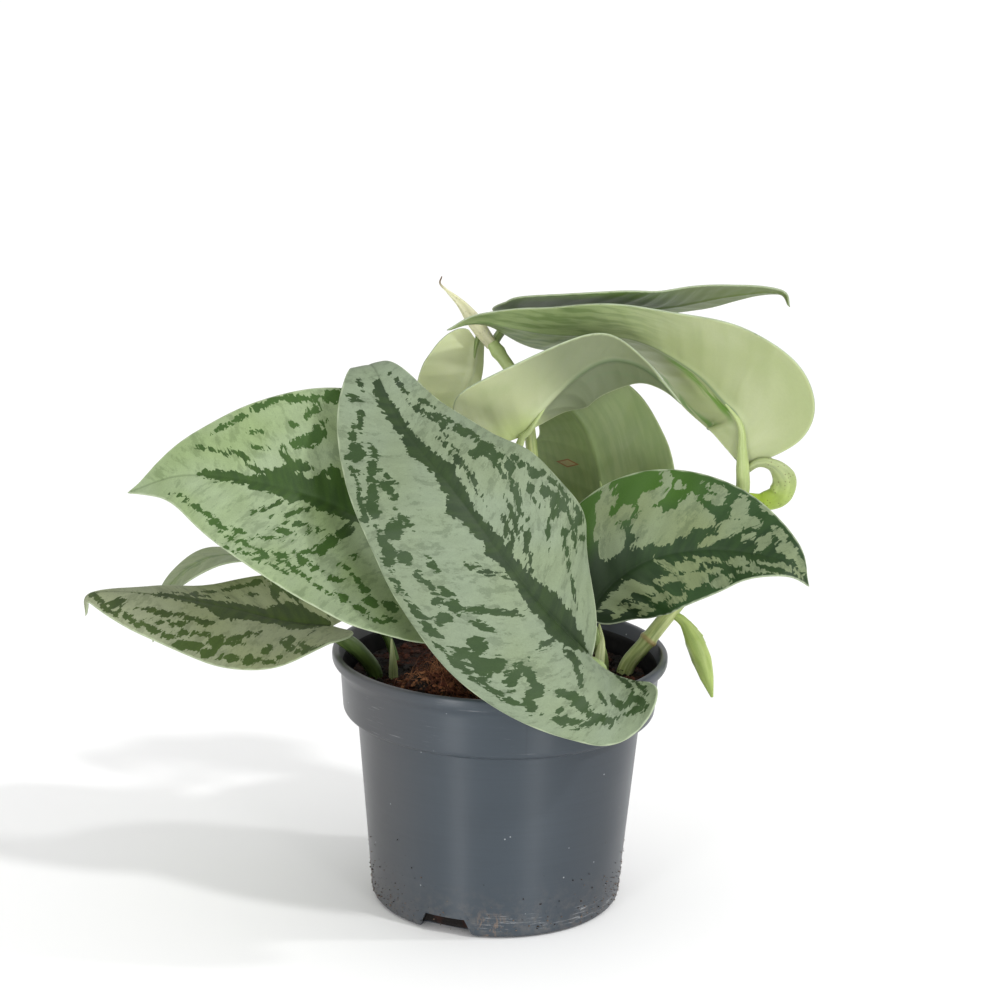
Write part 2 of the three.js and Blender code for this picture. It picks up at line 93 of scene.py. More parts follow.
# Each leaf has its rib from petiole to tip and face, the upper face's directions along it. half (width),
# curl and fold (degrees) are given at base, middle and tip, the first two for [left, right] as seen on the
# upper face. fold lifts both halves at the midrib. lobe is 1 for a heart-shaped base and 0 for an oval
# one, and drop turns the lobes about the petiole's end. stalk is the petiole's radius and swell thickens
# it below the blade. soften smooths the blade over so many rows each way, and grid is its rows and half
# its columns. band is the dark zone along the midrib, (along, left width, right width), and marks are
# patches, (along, across, half length, half width, turn in degrees), green unless green_ground is set.
# The shapes are the CAD's, except half of leaf_middle and leaf_back, petiole and stalk of leaf_low_left,
# and soften and swell.
LEAF_FRONT = {
    "node": "leaf_front",
    "rib": [(31, -41, 102), (9, -57, 130), (-16, -54, 162), (-35, -35, 181), (-45, -19, 197), (-50, -3, 191)],
    "face": [(-0.01, -0.56, 0.8), (0.23, -0.86, 0.49), (-0.05, -0.37, 0.93)],
    "half": [(42.5, 41.4, 49), (24, 39, 32)],
    "fold": (42, 6, 4),
    "curl": [(-84, -63, 2), (-41, -39, -54)],
    "lobe": (1.13, 0),
    "drop": -91,
    "petiole": [(36, -20, 74), (36, -21, 80), (35, -32, 95)],
    "stalk": 2,
    "soften": 4,
    "grid": (200, 56),
    "band": [
        (0, 0.5, 0.5), (4, 1.5, 1), (10, 6, 3), (14, 8, 4), (20, 9, 6), (27, 9, 6), (30, 6, 6), (36, 6, 5),
        (40, 4, 4), (45, 2.8, 3.2), (52, 2.6, 3.2), (58, 4.8, 3.2), (62, 2.4, 2.8), (70, 4.2, 2.2),
        (77, 6.5, 2.2), (80, 2.8, 3.4), (88, 2.5, 5.2), (95, 1.7, 3.5), (100, 4.8, 2.3), (108, 2.5, 1.9),
        (115, 3, 1.5), (122, 4, 1), (131, 2.5, -1.5), (134, -2, -3),
    ],
    "marks": [
        (13, 17, 5.5, 1.3, -65), (16, 12, 4, 2, -20), (26, 12, 3, 1, 60), (43, 15, 6.5, 1.1, 45),
        (54, 8, 5, 0.8, 35), (-22, 22, 3, 1.2, 10), (-22, 18, 4, 1.5, -35), (-17, 18, 4, 1.5, 60),
        (-18, 23, 3, 1, 20), (-10, 20, 5, 1.8, -15), (-7, 28, 5, 1.5, 10), (0, 29, 5, 1.5, 5),
        (3, 33, 5, 1, 35), (-12, 26, 3, 0.8, 60), (0, 21.5, 3, 1.2, -20), (9, 27, 3.5, 2.5, -20),
        (14, 26, 4, 1.8, 0), (9, 34, 5, 1, 10), (13, 33, 2.5, 1, -50), (-20, 10, 6, 1.2, -50),
        (-14, 8, 5, 1.5, -45), (-17, 5, 5, 1, -50), (21, 34, 3.5, 1.5, -60), (22, 30, 3, 1.5, 80),
        (25, 26, 3, 1.5, -50), (28, 30, 4, 1.6, -70), (29, 24, 2.5, 1.3, 90), (30, 36, 6, 0.9, 0),
        (35, 33, 3.5, 2, -30), (34, 28, 3, 1.8, 60), (40, 33, 4, 1.5, 70), (40, 27, 2.5, 2.5, 0),
        (43, 22, 2.5, 1, 30), (41, 37, 5, 0.8, 0), (52, 35, 5, 1.2, 5), (51, 29, 2, 3, 0),
        (52, 24, 2.5, 2, -30), (56, 27, 2, 1.5, 0), (57, 23, 3, 1.2, 10), (62, 26, 3, 1, 15),
        (66, 27, 2, 1, 0), (66, 21, 2.5, 0.8, 0), (58, 35.5, 7, 0.8, -3), (67, 34, 6, 0.8, -6),
        (73, 27, 2.5, 2, 30), (77, 30, 3, 2, -10), (75, 33, 3, 1, 0), (81, 29, 3, 1.5, 0),
        (82, 24, 3, 3.5, 0), (83, 19, 3, 1, 10), (86, 28, 2.5, 0.8, 10), (92, 25, 3, 2, 0),
        (93, 28, 3.5, 1, -20), (96, 22, 4, 2, -40), (93, 17, 3.5, 1.5, 0), (97, 15, 3, 1, 10),
        (100, 19, 3, 1, 0), (103, 17, 5, 1.6, -40), (98, 26, 4, 0.9, -35), (105, 23, 4, 0.8, -10),
        (110, 18, 3, 2, -45), (115, 17, 4, 0.8, -35), (108, 13, 2, 0.8, 20), (119, 12, 2.5, 1, -30),
        (127, 11, 2, 0.8, 40), (131, 7, 1.5, 0.6, 0),
        (25, -13, 5, 0.8, -30), (38, -19, 7, 0.8, -25), (46, -6, 4, 0.8, -30), (52, -9, 6, 0.9, -40),
        (62, -14, 7, 0.9, -28), (68, -17, 3, 1.3, -20), (72, -19, 3, 0.8, -10), (57, -5, 5, 0.8, -20),
        (60, -7, 4, 0.8, -15), (62, -10.5, 4, 0.6, -20), (50, -18, 4, 0.6, -40), (45, -23, 2, 1.8, -20),
        (40, -25, 5, 1, -25), (35, -28, 4, 1, 20), (45, -28, 6, 1, -15), (43, -31, 3, 2, 0),
        (46, -33, 4, 1.5, 0), (53, -25, 1.5, 2.5, 0), (53, -29, 2.5, 2, 0), (57, -27, 1.5, 3, 10),
        (56, -33, 5, 1.2, 0), (62, -27, 2.5, 2.5, 0), (66, -23, 2, 1.5, 0), (70, -28, 3, 2, 30),
        (64, -32, 4, 1, 10), (62, -21, 2, 1, -20), (75, -26, 3, 1.2, 30), (77, -22, 2.5, 2.5, 60),
        (79, -26, 1.5, 1.5, 0), (84, -22, 4, 0.8, 10), (88, -20, 5, 1.6, 15), (92, -21, 4, 0.8, 25),
        (86, -18, 4, 1, 20), (89, -15, 3, 2, 30), (80, -18, 5, 0.7, 0), (91, -8, 3.5, 1, -10),
        (95, -10, 2, 0.7, 0), (82, -8, 5, 0.8, -10), (99, -8, 2, 0.6, 0), (101, -17, 3, 2.2, 20),
        (99, -20, 3, 1, 10), (106, -12, 3, 1.5, 10), (104, -11, 4, 0.7, -10), (110, -13, 3, 1.5, 30),
        (112, -10, 4, 0.8, 10), (115, -8, 3, 0.7, 20), (108, -16, 3, 0.8, 20), (118, -12, 3, 1, 35),
        (127, -6, 4, 0.6, 20),
    ],
}

LEAF_LEFT = {
    "node": "leaf_left",
    "rib": [(-21, -18, 127), (-52, -26, 147), (-76, -31, 157), (-107, -29, 160), (-128, -27, 153)],
    "face": [(0.1, -0.7, 0.7), (-0.15, -0.85, 0.5), (-0.3, -0.6, 0.75)],
    "half": [(42, 44, 45), (45, 43, 42)],
    "fold": (10, 10, 3),
    "curl": [(10, 20, 0), (-20, 0, 0)],
    "lobe": (0.8, 0.6),
    "drop": -10,
    "petiole": [(-14, -8, 74), (-13, -10, 90), (-14, -14, 110)],
    "stalk": 2,
    "grid": (150, 48),
    "band": [
        (0, 2, 2), (20, 4, 5), (36, 2, 5), (40, 3, 7), (45, 4, 10), (50, 4, 8), (52, 3, 10), (55, 2.5, 6),
        (60, 5, 6), (62, 4, 9), (65, 3, 8), (70, 3, 3), (75, 2, 2), (80, 1.5, 3), (85, 2, 2), (90, 1, 2.5),
        (94, -1.5, -1.5),
    ],
    "marks": [
        (38, 8, 5, 1.5, 60), (42, 14, 4, 2, 50), (45, 18, 3, 2, 30), (50, 21, 5, 1.3, 20),
        (48, 12, 5, 0.8, 30), (56, 12, 4, 0.8, 15), (60, 16, 3, 0.8, 10), (58, 8, 5, 0.8, 30),
        (62, 5, 3, 1, 40), (66, 8, 4, 0.6, 40), (48, -10, 3, 2.5, -30), (58, -9, 2, 3, 80),
        (62, -8, 3, 1.5, -60), (65, -11, 2.5, 1, -60), (70, -4, 4, 1, -10), (58, -19, 4.5, 2.2, 50),
        (62, -16, 3, 1.5, 40), (57, -24, 3, 1, 60), (60, -28, 4, 1.5, 60), (64, -22, 2, 1, 0),
        (56, -35, 4, 2, 50), (60, -33, 3, 1, 30), (66, -31, 4, 1.2, 10), (72, -29, 4, 1.2, 30),
        (76, -26, 3, 1, 30), (82, -21, 4, 0.8, 35), (86, -18, 3, 0.7, 35), (74, -12, 2, 0.6, 0),
        (80, -9, 3, 0.6, -20), (86, -9, 5, 0.6, -15), (76, -17, 2, 0.8, 0), (90, -10, 2, 0.6, 0),
        (15, 28, 3, 2, 20), (22, 30, 3, 2, 0), (14, 34, 3, 1, 10), (20, 37, 4, 1, 10), (27, 35, 4, 1, 0),
        (33, 33, 3, 1.5, 0), (30, 23, 3, 1.2, -30), (25, 26, 2, 1.5, 0), (34, 21, 2.5, 1, 0),
        (32, 16, 2, 1, 40), (36, 27, 5, 1, 10), (42, 33, 5, 0.8, -10), (50, 31, 5, 1, -10),
        (47, 26, 4, 1, 0), (52, 24, 4, 1.2, -10), (55, 29, 4, 1, -15), (59, 26, 3, 1.5, 0),
        (60, 31, 3, 0.8, -10), (65, 27, 3, 1.5, -20), (70, 25, 4, 1.2, -20), (69, 29, 4, 0.8, -20),
        (76, 24, 4, 0.8, -25), (74, 20, 4, 0.6, -20), (80, 20, 4, 0.8, -20), (86, 16, 5, 0.6, -25),
        (92, 13, 4, 0.6, -20), (78, 28, 3, 0.6, -20), (66, 21, 2, 1, 0), (62, 20, 3, 0.6, 10),
        (98, 9, 3, 0.5, -25),
        (5, 24, 4, 2, 60), (-4, 18, 3, 2, 90), (10, -20, 5, 2, -50), (22, -30, 4, 2, -40),
        (30, -36, 5, 1.5, -15), (42, -38, 5, 1.5, 0), (16, -34, 4, 2, 10), (28, -22, 4, 1.2, -45),
        (40, -25, 4, 1.2, -45), (0, -22, 4, 2, -80), (5, -34, 4, 1.6, -50),
    ],
}

LEAF_LOW_LEFT = {
    "node": "leaf_low_left",
    "rib": [
        (-60, -7, 101), (-77, -8, 103), (-97, -13, 109), (-122, -19, 115), (-143, -17, 114),
        (-145, -17, 106),
    ],
    "face": [(0.21, -0.35, 0.91), (-0.12, -0.39, 0.91), (-0.3, -0.26, 0.92)],
    "half": [(23, 28, 34), (29, 15, 2)],
    "fold": (25, -5, -2),
    "curl": [(-14, -32, -12), (8, -12, 4)],
    "lobe": (0.6, 0.7),
    "drop": 0,
    "petiole": [(-44.5, 0, 74), (-45, -1, 83), (-50.5, -3, 91), (-56, -5, 96)],
    "stalk": 2.8,
    "grid": (140, 44),
    "band": [
        (0, 1, 1), (5, 1.5, 4), (8, 5, 5), (12, 6, 8), (16, 4.5, 8.5), (20, 3, 6), (25, 4, 4), (30, 4.5, 3.5),
        (35, 5.5, 3), (40, 6.5, 2.5), (45, 3, 2), (50, 2, 2), (55, 1.2, 2), (60, 1, 1.5), (66, 0.7, -0.5),
        (72, -1, -1),
    ],
    "marks": [
        (5, 5, 4, 0.5, 65), (8, 17.5, 3, 1.2, -50), (14.5, 16, 4, 1.6, -50), (13.5, 12, 1.5, 1.8, 0),
        (10, 19.5, 3, 0.7, -20), (4, 20, 2, 1, 50), (18, 20.5, 2, 0.6, 0), (23, 17, 2.2, 1.5, 40),
        (22.5, 22.5, 3, 1, -10), (29, 22, 2, 2.2, 0), (36, 22, 3.5, 1.3, 0), (32, 12.5, 5, 0.9, 32),
        (37, 16.5, 3, 0.6, 10), (41, 16.5, 3.5, 2.2, 35), (44, 21, 4, 1.6, 20), (49, 14.7, 4.5, 0.7, 5),
        (51, 19.5, 4.5, 1.8, 0), (57, 17.5, 2.5, 1, -10), (56, 12.3, 2.5, 1, 10), (61, 12.3, 2.2, 0.7, -10),
        (64, 15, 3.5, 1.2, -35), (70, 12, 3, 0.9, -35), (77, 9.5, 3, 0.6, -35), (45, 9.5, 2.5, 1.3, 20),
        (50, 9, 3.5, 1, -10), (59, 8.5, 3.5, 1.1, 0), (65, 7.5, 2, 0.6, 0), (75.5, 5.5, 3.5, 1.8, 40),
        (79, 8, 2.5, 1.2, -40), (83, 3, 3.5, 0.8, -45), (85, 2, 3, 0.6, -50), (15, -13, 3, 1.2, -60),
        (21, -14, 4.5, 1.4, -75), (26, -17.5, 3, 1.3, 50), (28, -10.5, 2.5, 0.8, 30), (34, -13, 6, 0.9, 30),
        (44, -8, 5, 0.8, 25), (50, -3.5, 6, 0.6, 10),
    ],
}

LEAF_BACK_LEFT = {
    "node": "leaf_back_left",
    "rib": [(-73, 25, 110), (-90, 20, 118), (-105, 16, 119), (-117, 12, 112), (-123, 8, 101), (-125, 5, 90)],
    "face": [(0, 0.2, 0.97), (-0.3, -0.02, 0.95), (-0.89, -0.3, 0.27)],
    "half": [(8, 17, 22), (14, 17, 22)],
    "fold": (0, 0, 0),
    "curl": [(0, 0, 0), (0, 0, 0)],
    "lobe": (0.6, 0.6),
    "drop": 0,
    "petiole": [(-36, 18, 74), (-43, 20, 92), (-57, 24, 103)],
    "stalk": 1.6,
    "grid": (110, 30),
}

LEAF_RIGHT = {
    "node": "leaf_right",
    "rib": [
        (31, -8, 108), (39, -8, 119), (51, -9, 128), (66, -10, 132), (82, -13, 133), (99, -20, 131),
        (107, -17, 122),
    ],
    "face": [(0.4, -0.85, 0.3), (0.35, -0.78, 0.52), (0.4, -0.73, 0.56)],
    "half": [(25, 33, 33), (17, 22, 26)],
    "fold": (13, 13, 7),
    "curl": [(-18, -11, 0), (-9, -19, 0)],
    "lobe": (1, 0.2),
    "drop": 0,
    "petiole": [(37, 9, 74), (37, 6, 86), (34, -2, 97)],
    "stalk": 2.2,
    "grid": (150, 48),
    "green_ground": True,
    "band": [(0, 2, 2), (20, 1.6, 1.6), (60, 1.4, 1.4), (90, 0.8, 0.8)],
    "marks": [
        (25.5, 24.5, 4.5, 1.8, 65), (22.5, 18.5, 3, 2, 30), (22, 12, 5, 3.5, 40), (28.5, 18.5, 2, 2, 0),
        (35.5, 21, 4, 2, 35), (39.5, 26, 1, 3, 0), (33, 13, 5, 3, 50), (38, 8, 7, 3, 5), (40, 11, 8, 4, 10),
        (45, 14, 4, 4, 20), (48, 10, 3, 2, 0), (30, 7, 3, 1.5, 20), (36, 5, 2.5, 1, 0),
        (42.5, 23.5, 1.3, 1.3, 0), (45.5, 18, 2, 2, 20), (52.5, 18, 2.5, 1.3, -10), (53, 21.5, 2.2, 1, -30),
        (50, 12, 1.5, 1.3, 0), (59, 15.5, 4.5, 1.8, 80), (57, 8, 4, 2.5, 30), (55, 5, 3, 1, 20),
        (50.5, 3, 3.5, 1.2, 25), (63, 11.5, 3, 2, -10), (66.5, 17.3, 2, 0.6, -20), (69, 5, 3.5, 1.6, 70),
        (63, 5.5, 2, 1.2, 30), (73.5, 8.5, 3, 1.2, -40), (77, 4.5, 4, 2, -15), (82.5, 2.5, 4, 1.2, -20),
        (8, 15, 4, 3, 60), (14, 22, 4, 2, 40), (-5, 14, 3, 3, 80), (2, 8, 3, 1.5, 60),
        (6, -3.5, 3.5, 1.3, -40), (13, -4.5, 5, 2, -15), (10, -8.8, 4, 1, -10), (20, -6, 4.5, 1.8, -55),
        (17, -14.5, 3.2, 1, -5), (13.5, -11, 3, 1, -30), (28, -13.5, 4.5, 1, -8), (24.5, -9.8, 2.5, 0.9, -15),
        (35.5, -16.5, 3.5, 1.1, 5), (35, -9, 4, 1, -10), (35, -3, 3, 0.8, -40), (43, -6, 5, 1.6, -5),
        (45, -10.5, 6, 2.2, -5), (43.5, -13, 3, 1, 0), (56.5, -12.5, 4, 2, 5), (50, -4, 3.5, 0.8, -10),
        (62.5, -4.5, 4, 1.5, -5), (68, -7, 2.5, 1, 0), (74, -3.5, 4, 0.8, 8), (78, -2.5, 4, 0.7, 10),
        (72, -7.5, 4, 0.7, 10), (52, -8.5, 2, 0.7, 0),
    ],
}

LEAF_MIDDLE = {
    "node": "leaf_middle",
    "rib": [
        (5, -3, 170), (15, -4, 183), (26, -1, 193), (37, 5, 197), (49, 5, 194),
        (57, 5, 187), (62, 6, 181),
    ],
    "face": [
        (-0.29, 0.82, 0.41), (-0.39, 0.68, 0.83), (-0.05, 0.8, 0.44), (0.26, 0.71, 0.57),
        (0.44, 0.54, 0.72),
    ],
    "half": [(6, 24, 12), (32, 18, -7)],
    "fold": (11, 0, 3),
    "curl": [(20, 8, -2), (7, -3, -2)],
    "lobe": (-0.2, 1),
    "drop": 0,
    "petiole": [(6, 2, 74), (2, 0, 118), (3, -3, 155)],
    "stalk": 2.4,
    "swell": 1.6,
    "soften": 7,
    "grid": (130, 40),
}

LEAF_BACK = {
    "node": "leaf_back",
    "rib": [(37, 30, 138), (34, 27, 153), (29, 25, 168), (20, 24, 178), (5, 20, 188)],
    "face": [(0.1, 0.95, 0.1), (0, 0.95, 0.33), (0, 0.86, 0.5)],
    "half": [(29, 27, 26), (31, 28, 24)],
    "fold": (10, 15, 10),
    "curl": [(5, 20, 0), (10, 20, 0)],
    "lobe": (1, 1),
    "drop": 0,
    "petiole": [(28, 22, 74), (34, 26, 100), (38, 30, 125)],
    "stalk": 2,
    "grid": (110, 36),
}

LEAF_ARCH = {
    "node": "vine_right",
    "rib": [
        (85, 10, 158), (83, 9, 175), (77, 11, 182), (65, 12, 193), (44, 13, 203),
        (14, 11, 204.5), (-9, 10, 208), (-21, 10, 205),
    ],
    "face": [
        (0.15, 0.93, 0.31), (0.2, 0.75, 0.55), (0.22, 0.54, 0.84), (0.08, 0.7, 0.64),
        (-0.02, 0.46, 0.87),
    ],
    "half": [(41, 24, 33), (11, 32, 32)],
    "fold": (11, 7, 19),
    "curl": [(9, 2, 4), (5, 26, -10)],
    "lobe": (0, 0),
    "drop": 0,
    "petiole": [(83, 10, 142), (85, 9, 150)],
    "stalk": 2.5,
    "grid": (160, 44),
}

LEAF_TOP = {
    "node": "vine_centre",
    "rib": [(6, 31, 208), (27, 25, 211), (55, 26, 212), (79, 24, 217), (96, 21, 219), (100, 20, 214)],
    "face": [(0.2, 0.4, 0.9), (0, 0.33, 0.94), (-0.1, 0.4, 0.91)],
    "half": [(29, 28, 27), (27, 28, 27)],
    "fold": (-8, 3, 3),
    "curl": [(0, 0, 0), (0, 0, 0)],
    "lobe": (0.8, 0.6),
    "drop": -10,
    "petiole": [(-5, 20, 198), (-1, 26, 203)],
    "stalk": 1.6,
    "grid": (130, 40),
}

LEAF_FAR_LEFT = {
    "node": "vine_centre",
    "rib": [(-11, 25, 199), (-13, 18, 187), (-20, 18, 171), (-26, 20, 152)],
    "face": [(-0.2, 0.8, 0.56), (0, 0.93, 0.36), (0, 0.95, 0.32)],
    "half": [(14, 18, 19), (6, 7, 18)],
    "fold": (10, 10, 10),
    "curl": [(10, 10, 0), (10, 10, 0)],
    "lobe": (0.45, 0.55),
    "drop": 8,
    "petiole": [(-4, 20, 197), (-9, 25, 201)],
    "stalk": 1.4,
    "grid": (100, 32),
}

# ------------------------------------------------------------------ stems and young growth

# Each is a path and the radii along it. They are the CAD's, except the rolled leaf's radii, the sheath's
# radii and tip, and the whole cataphyll and soil shoot.

RIGHT_STEM = (
    [(44, 6, 74), (46, 7, 84), (52, 8, 92), (62, 10, 105), (72, 12, 118), (80, 12, 132), (84, 10, 146)],
    [2.9, 2.9, 2.8, 2.8, 2.7, 2.6, 2.6],
)
CURLED_LEAF = (
    [
        (84, 10, 155), (90, 8, 160), (96, 8, 159), (100, 9, 153.5), (98, 10, 147.5), (92, 10, 145.5),
        (87, 10, 147),
    ],
    [1.3, 1.6, 2.4, 4.4, 4.6, 3.6, 1.6],
)
ROLLED_LEAF = (
    [(60, 10, 104), (65.5, 8, 101), (69.5, 6, 95), (72.7, 5, 88), (75.2, 5, 80), (77, 5, 73.6)],
    [1.2, 1.9, 3.9, 3.9, 2.6, 0.5],
)
CENTRE_STEM = (
    [(12, 14, 74), (11, 14, 120), (10, 13, 160), (5, 15, 184), (-5, 20, 199)],
    [2.3, 2.2, 2.1, 2.1, 2.2],
)
SHOOT_SHEATH = (
    [
        (-5, 20, 198), (-10.5, 20, 205), (-16, 20, 212.3), (-21, 20, 217), (-23.8, 20, 219.8),
        (-23.2, 20, 222.4),
    ],
    [2.4, 2.9, 2.8, 1.6, 0.6, 0.2],
)
CATAPHYLL = ([(35, -2, 74), (35.3, -3, 87), (36, -3, 96), (35, -4, 103)], [2.2, 2.3, 1.6, 0.3])
SOIL_SHOOT = ([(-38, -3, 74), (-38, -3, 84), (-38.7, -3, 95.5)], [1.9, 1.7, 0.3])

# ------------------------------------------------------------------ camera, in mm and degrees

CAMERA_PLACE = (-1.1, -820.6, 348.1)
CAMERA_PITCH = 13.8
CAMERA_ROLL = 1.17
CAMERA_LENS = 86.4
CAMERA_SENSOR = 36
CAMERA_CLIP = (0.05, 60)         # metres
FLOOR_REACH = 20                 # metres
FLOOR_DROP = 0.0002              # metres, so that the pot's underside isn't in the same plane
SUN_ANGLE = 4
SUN_DISTANCE = 2                 # metres
BOX_AIM = (0, 0, 0.08)           # metres
ROOM_LIGHT = 0.8


# ------------------------------------------------------------------ materials


def srgb(red, green, blue):
    """Linear colour of an sRGB one given as 0 to 255."""

    def linear(value):
        value /= 255
        return value / 12.92 if value <= 0.04045 else ((value + 0.055) / 1.055) ** 2.4

    return (linear(red), linear(green), linear(blue), 1)


class Graph:
    """A material's nodes. Every method that adds one returns its output socket."""

    def __init__(self, name):
        self.material = bpy.data.materials.new(name)
        self.material.use_nodes = True
        self.tree = self.material.node_tree
        self.tree.nodes.clear()
        output = self.tree.nodes.new("ShaderNodeOutputMaterial")
        self.shader = self.tree.nodes.new("ShaderNodeBsdfPrincipled")
        self.tree.links.new(self.shader.outputs[0], output.inputs["Surface"])

    def plug(self, socket, value):
        """Link the socket where value is a socket too, or else set it. A colour of three is sRGB."""
        if isinstance(value, bpy.types.NodeSocket):
            self.tree.links.new(value, socket)
        elif socket.type == "RGBA" and len(value) == 3:
            socket.default_value = srgb(*value)
        else:
            socket.default_value = value

    def node(self, kind, inputs, **settings):
        node = self.tree.nodes.new(kind)
        for key, value in settings.items():
            setattr(node, key, value)
        for key, value in inputs.items():
            self.plug(node.inputs[key], value)
        return node

    def math(self, operation, a, b=0, c=0):
        return self.node("ShaderNodeMath", {0: a, 1: b, 2: c}, operation=operation).outputs[0]

    def add(self, a, b):
        return self.math("ADD", a, b)

    def times(self, product, *factors):
        for factor in factors:
            product = self.math("MULTIPLY", product, factor)
        return product

    def line(self, value, slope, start):
        """slope times value, plus start."""
        return self.math("MULTIPLY_ADD", value, slope, start)

    def off(self, value, centre):
        """How far value is from centre, without sign."""
        return self.math("ABSOLUTE", self.add(value, -centre))

    def blend(self, a, part, b):
        """Heights a and b together, with this part of a."""
        return self.add(self.times(a, part), self.times(b, 1 - part))

    def vector(self, x, y, z=0):
        return self.node("ShaderNodeCombineXYZ", {"X": x, "Y": y, "Z": z}).outputs[0]

    def parts(self, vector):
        return tuple(self.node("ShaderNodeSeparateXYZ", {0: vector}).outputs)

    def stretch(self, vector, by):
        """Vector or colour times another one, part by part."""
        return self.node("ShaderNodeVectorMath", {0: vector, 1: by}, operation="MULTIPLY").outputs[0]

    def shade(self, color, amount):
        """Colour made lighter or darker by a factor."""
        return self.stretch(color, self.vector(amount, amount, amount))

    def place(self):
        """The point in the model's own frame, in mm."""
        coordinates = self.node("ShaderNodeTexCoord", {}).outputs["Object"]
        return self.stretch(coordinates, (1000, 1000, 1000))

    def step(self, value, low, high, start=0, end=1):
        """Smooth step of value from low to high, going from start to end."""
        return self.node(
            "ShaderNodeMapRange",
            {"Value": value, "From Min": low, "From Max": high, "To Min": start, "To Max": end},
            interpolation_type="SMOOTHSTEP",
        ).outputs["Result"]

    def fade(self, value, low, high, start=1):
        """Smooth step down to nothing."""
        return self.step(value, low, high, start, 0)

    def window(self, value, low, full, ebb, high):
        """Nothing below low and past high, and 1 from full to ebb."""
        return self.times(self.step(value, low, full), self.fade(value, ebb, high))

    def noise(self, place, scale, detail=2, roughness=0.5):
        return self.node(
            "ShaderNodeTexNoise", {"Vector": place, "Scale": scale, "Detail": detail, "Roughness": roughness}
        ).outputs["Fac"]

    def cells(self, place, scale, output="Color"):
        return self.node("ShaderNodeTexVoronoi", {"Vector": place, "Scale": scale}).outputs[output]

    def mix(self, share, low, high):
        """Colour low where share is 0 and high where it is 1."""
        return self.node("ShaderNodeMix", {0: share, 6: low, 7: high}, data_type="RGBA").outputs[2]

    def attribute(self, name, output="Fac"):
        return self.node("ShaderNodeAttribute", {}, attribute_name=name).outputs[output]

    def bump(self, height, strength, distance):
        """Bump from a height between 0 and 1, distance in mm deep."""
        inputs = {"Height": height, "Strength": strength, "Distance": distance * MM}
        self.plug(self.shader.inputs["Normal"], self.node("ShaderNodeBump", inputs).outputs[0])

    def finish(self, color, roughness, **fixed):
        """Colour and roughness may be sockets. The rest are plain numbers, set on the shader itself."""
        self.plug(self.shader.inputs["Base Color"], color)
        self.plug(self.shader.inputs["Roughness"], roughness)
        names = {"specular": "Specular IOR Level", "subsurface": "Subsurface Weight",
                 "anisotropic": "Anisotropic", "turn": "Anisotropic Rotation"}
        for key, value in fixed.items():
            self.shader.inputs[names[key]].default_value = value
        if "subsurface" in fixed:
            self.shader.inputs["Subsurface Radius"].default_value = (1, 1, 0.45)
            self.shader.inputs["Subsurface Scale"].default_value = 1.2 * MM
        return self.material


def leaf_places(graph, seed):
    """Places on the flat blade, in mm, as sockets.

    They are along and across it, across without sign, the distance to the margin, where on the midrib the
    side vein through the point starts, and a vector for noise that follows the side veins.
    """
    along, across, edge = graph.parts(graph.attribute("flat", "Vector"))
    width = graph.math("ABSOLUTE", across)
    vein = graph.line(width, -VEIN_LEAN, along)
    spot = graph.vector(vein, graph.times(across, 0.5), seed * 7.3)
    return along, across, width, edge, vein, spot


def side_veins(graph, vein, spot):
    """Distance in mm from the nearest side vein, which wavers."""
    return graph.math("PINGPONG", graph.add(vein, graph.times(graph.noise(spot, 0.08), 6)), VEIN_STEP / 2)


def patches(graph, spot, bias):
    """1 in the green and 0 in the silver, with jagged edges, and a random value for each small cell."""
    bend = graph.noise(spot, 0.9)
    bent = graph.node("ShaderNodeVectorMath", {0: spot, 1: graph.vector(bend, bend)}, operation="ADD")
    jag, tone, _ = graph.parts(graph.cells(bent.outputs[0], 0.8))
    fine = graph.line(graph.noise(spot, 0.5, 4, 0.65), 3.4, -1.7)
    mark = graph.add(graph.add(graph.attribute("mark"), bias), graph.add(graph.line(jag, 1.5, -0.75), fine))
    return graph.step(mark, -0.12, 0.14), tone


def silver_part(graph, places, seed, grain, tone, silver, green, warm):
    """Silver in two tones, mottled with a little green."""
    along, across, _, _, vein, _ = places
    wide = graph.noise(graph.vector(along, across, seed), 0.035)
    mottle = graph.noise(graph.vector(vein, graph.times(across, 0.6), seed + 4), 0.28, 4, 0.7)
    color = graph.mix(graph.step(wide, 0.35, 0.68), silver, warm)
    color = graph.mix(graph.step(mottle, 0.5, 0.62, 0, 0.28), color, green)
    return graph.shade(color, graph.add(graph.line(grain, 0.42, 0.79), graph.line(tone, 0.08, -0.04)))


def green_part(graph, places, seed, grain, color, extra):
    """Green streaked along the side veins, and fresher away from the midrib."""
    _, across, width, _, vein, _ = places
    red, green, blue, _ = srgb(*color)
    streak = graph.noise(graph.vector(vein, graph.times(across, 0.25), seed), 0.4)
    color = graph.mix(graph.step(streak, 0.3, 0.7), color, (red * 1.45, green * 1.4, blue * 1.15, 1))
    color = graph.mix(graph.step(width, 5, 18, 0, 0.6), color, (red * 1.8, green * 1.85, blue * 1.6, 1))
    if extra:
        color = extra(graph, places, color)
    return graph.shade(color, graph.line(grain, 0.5, 0.75))


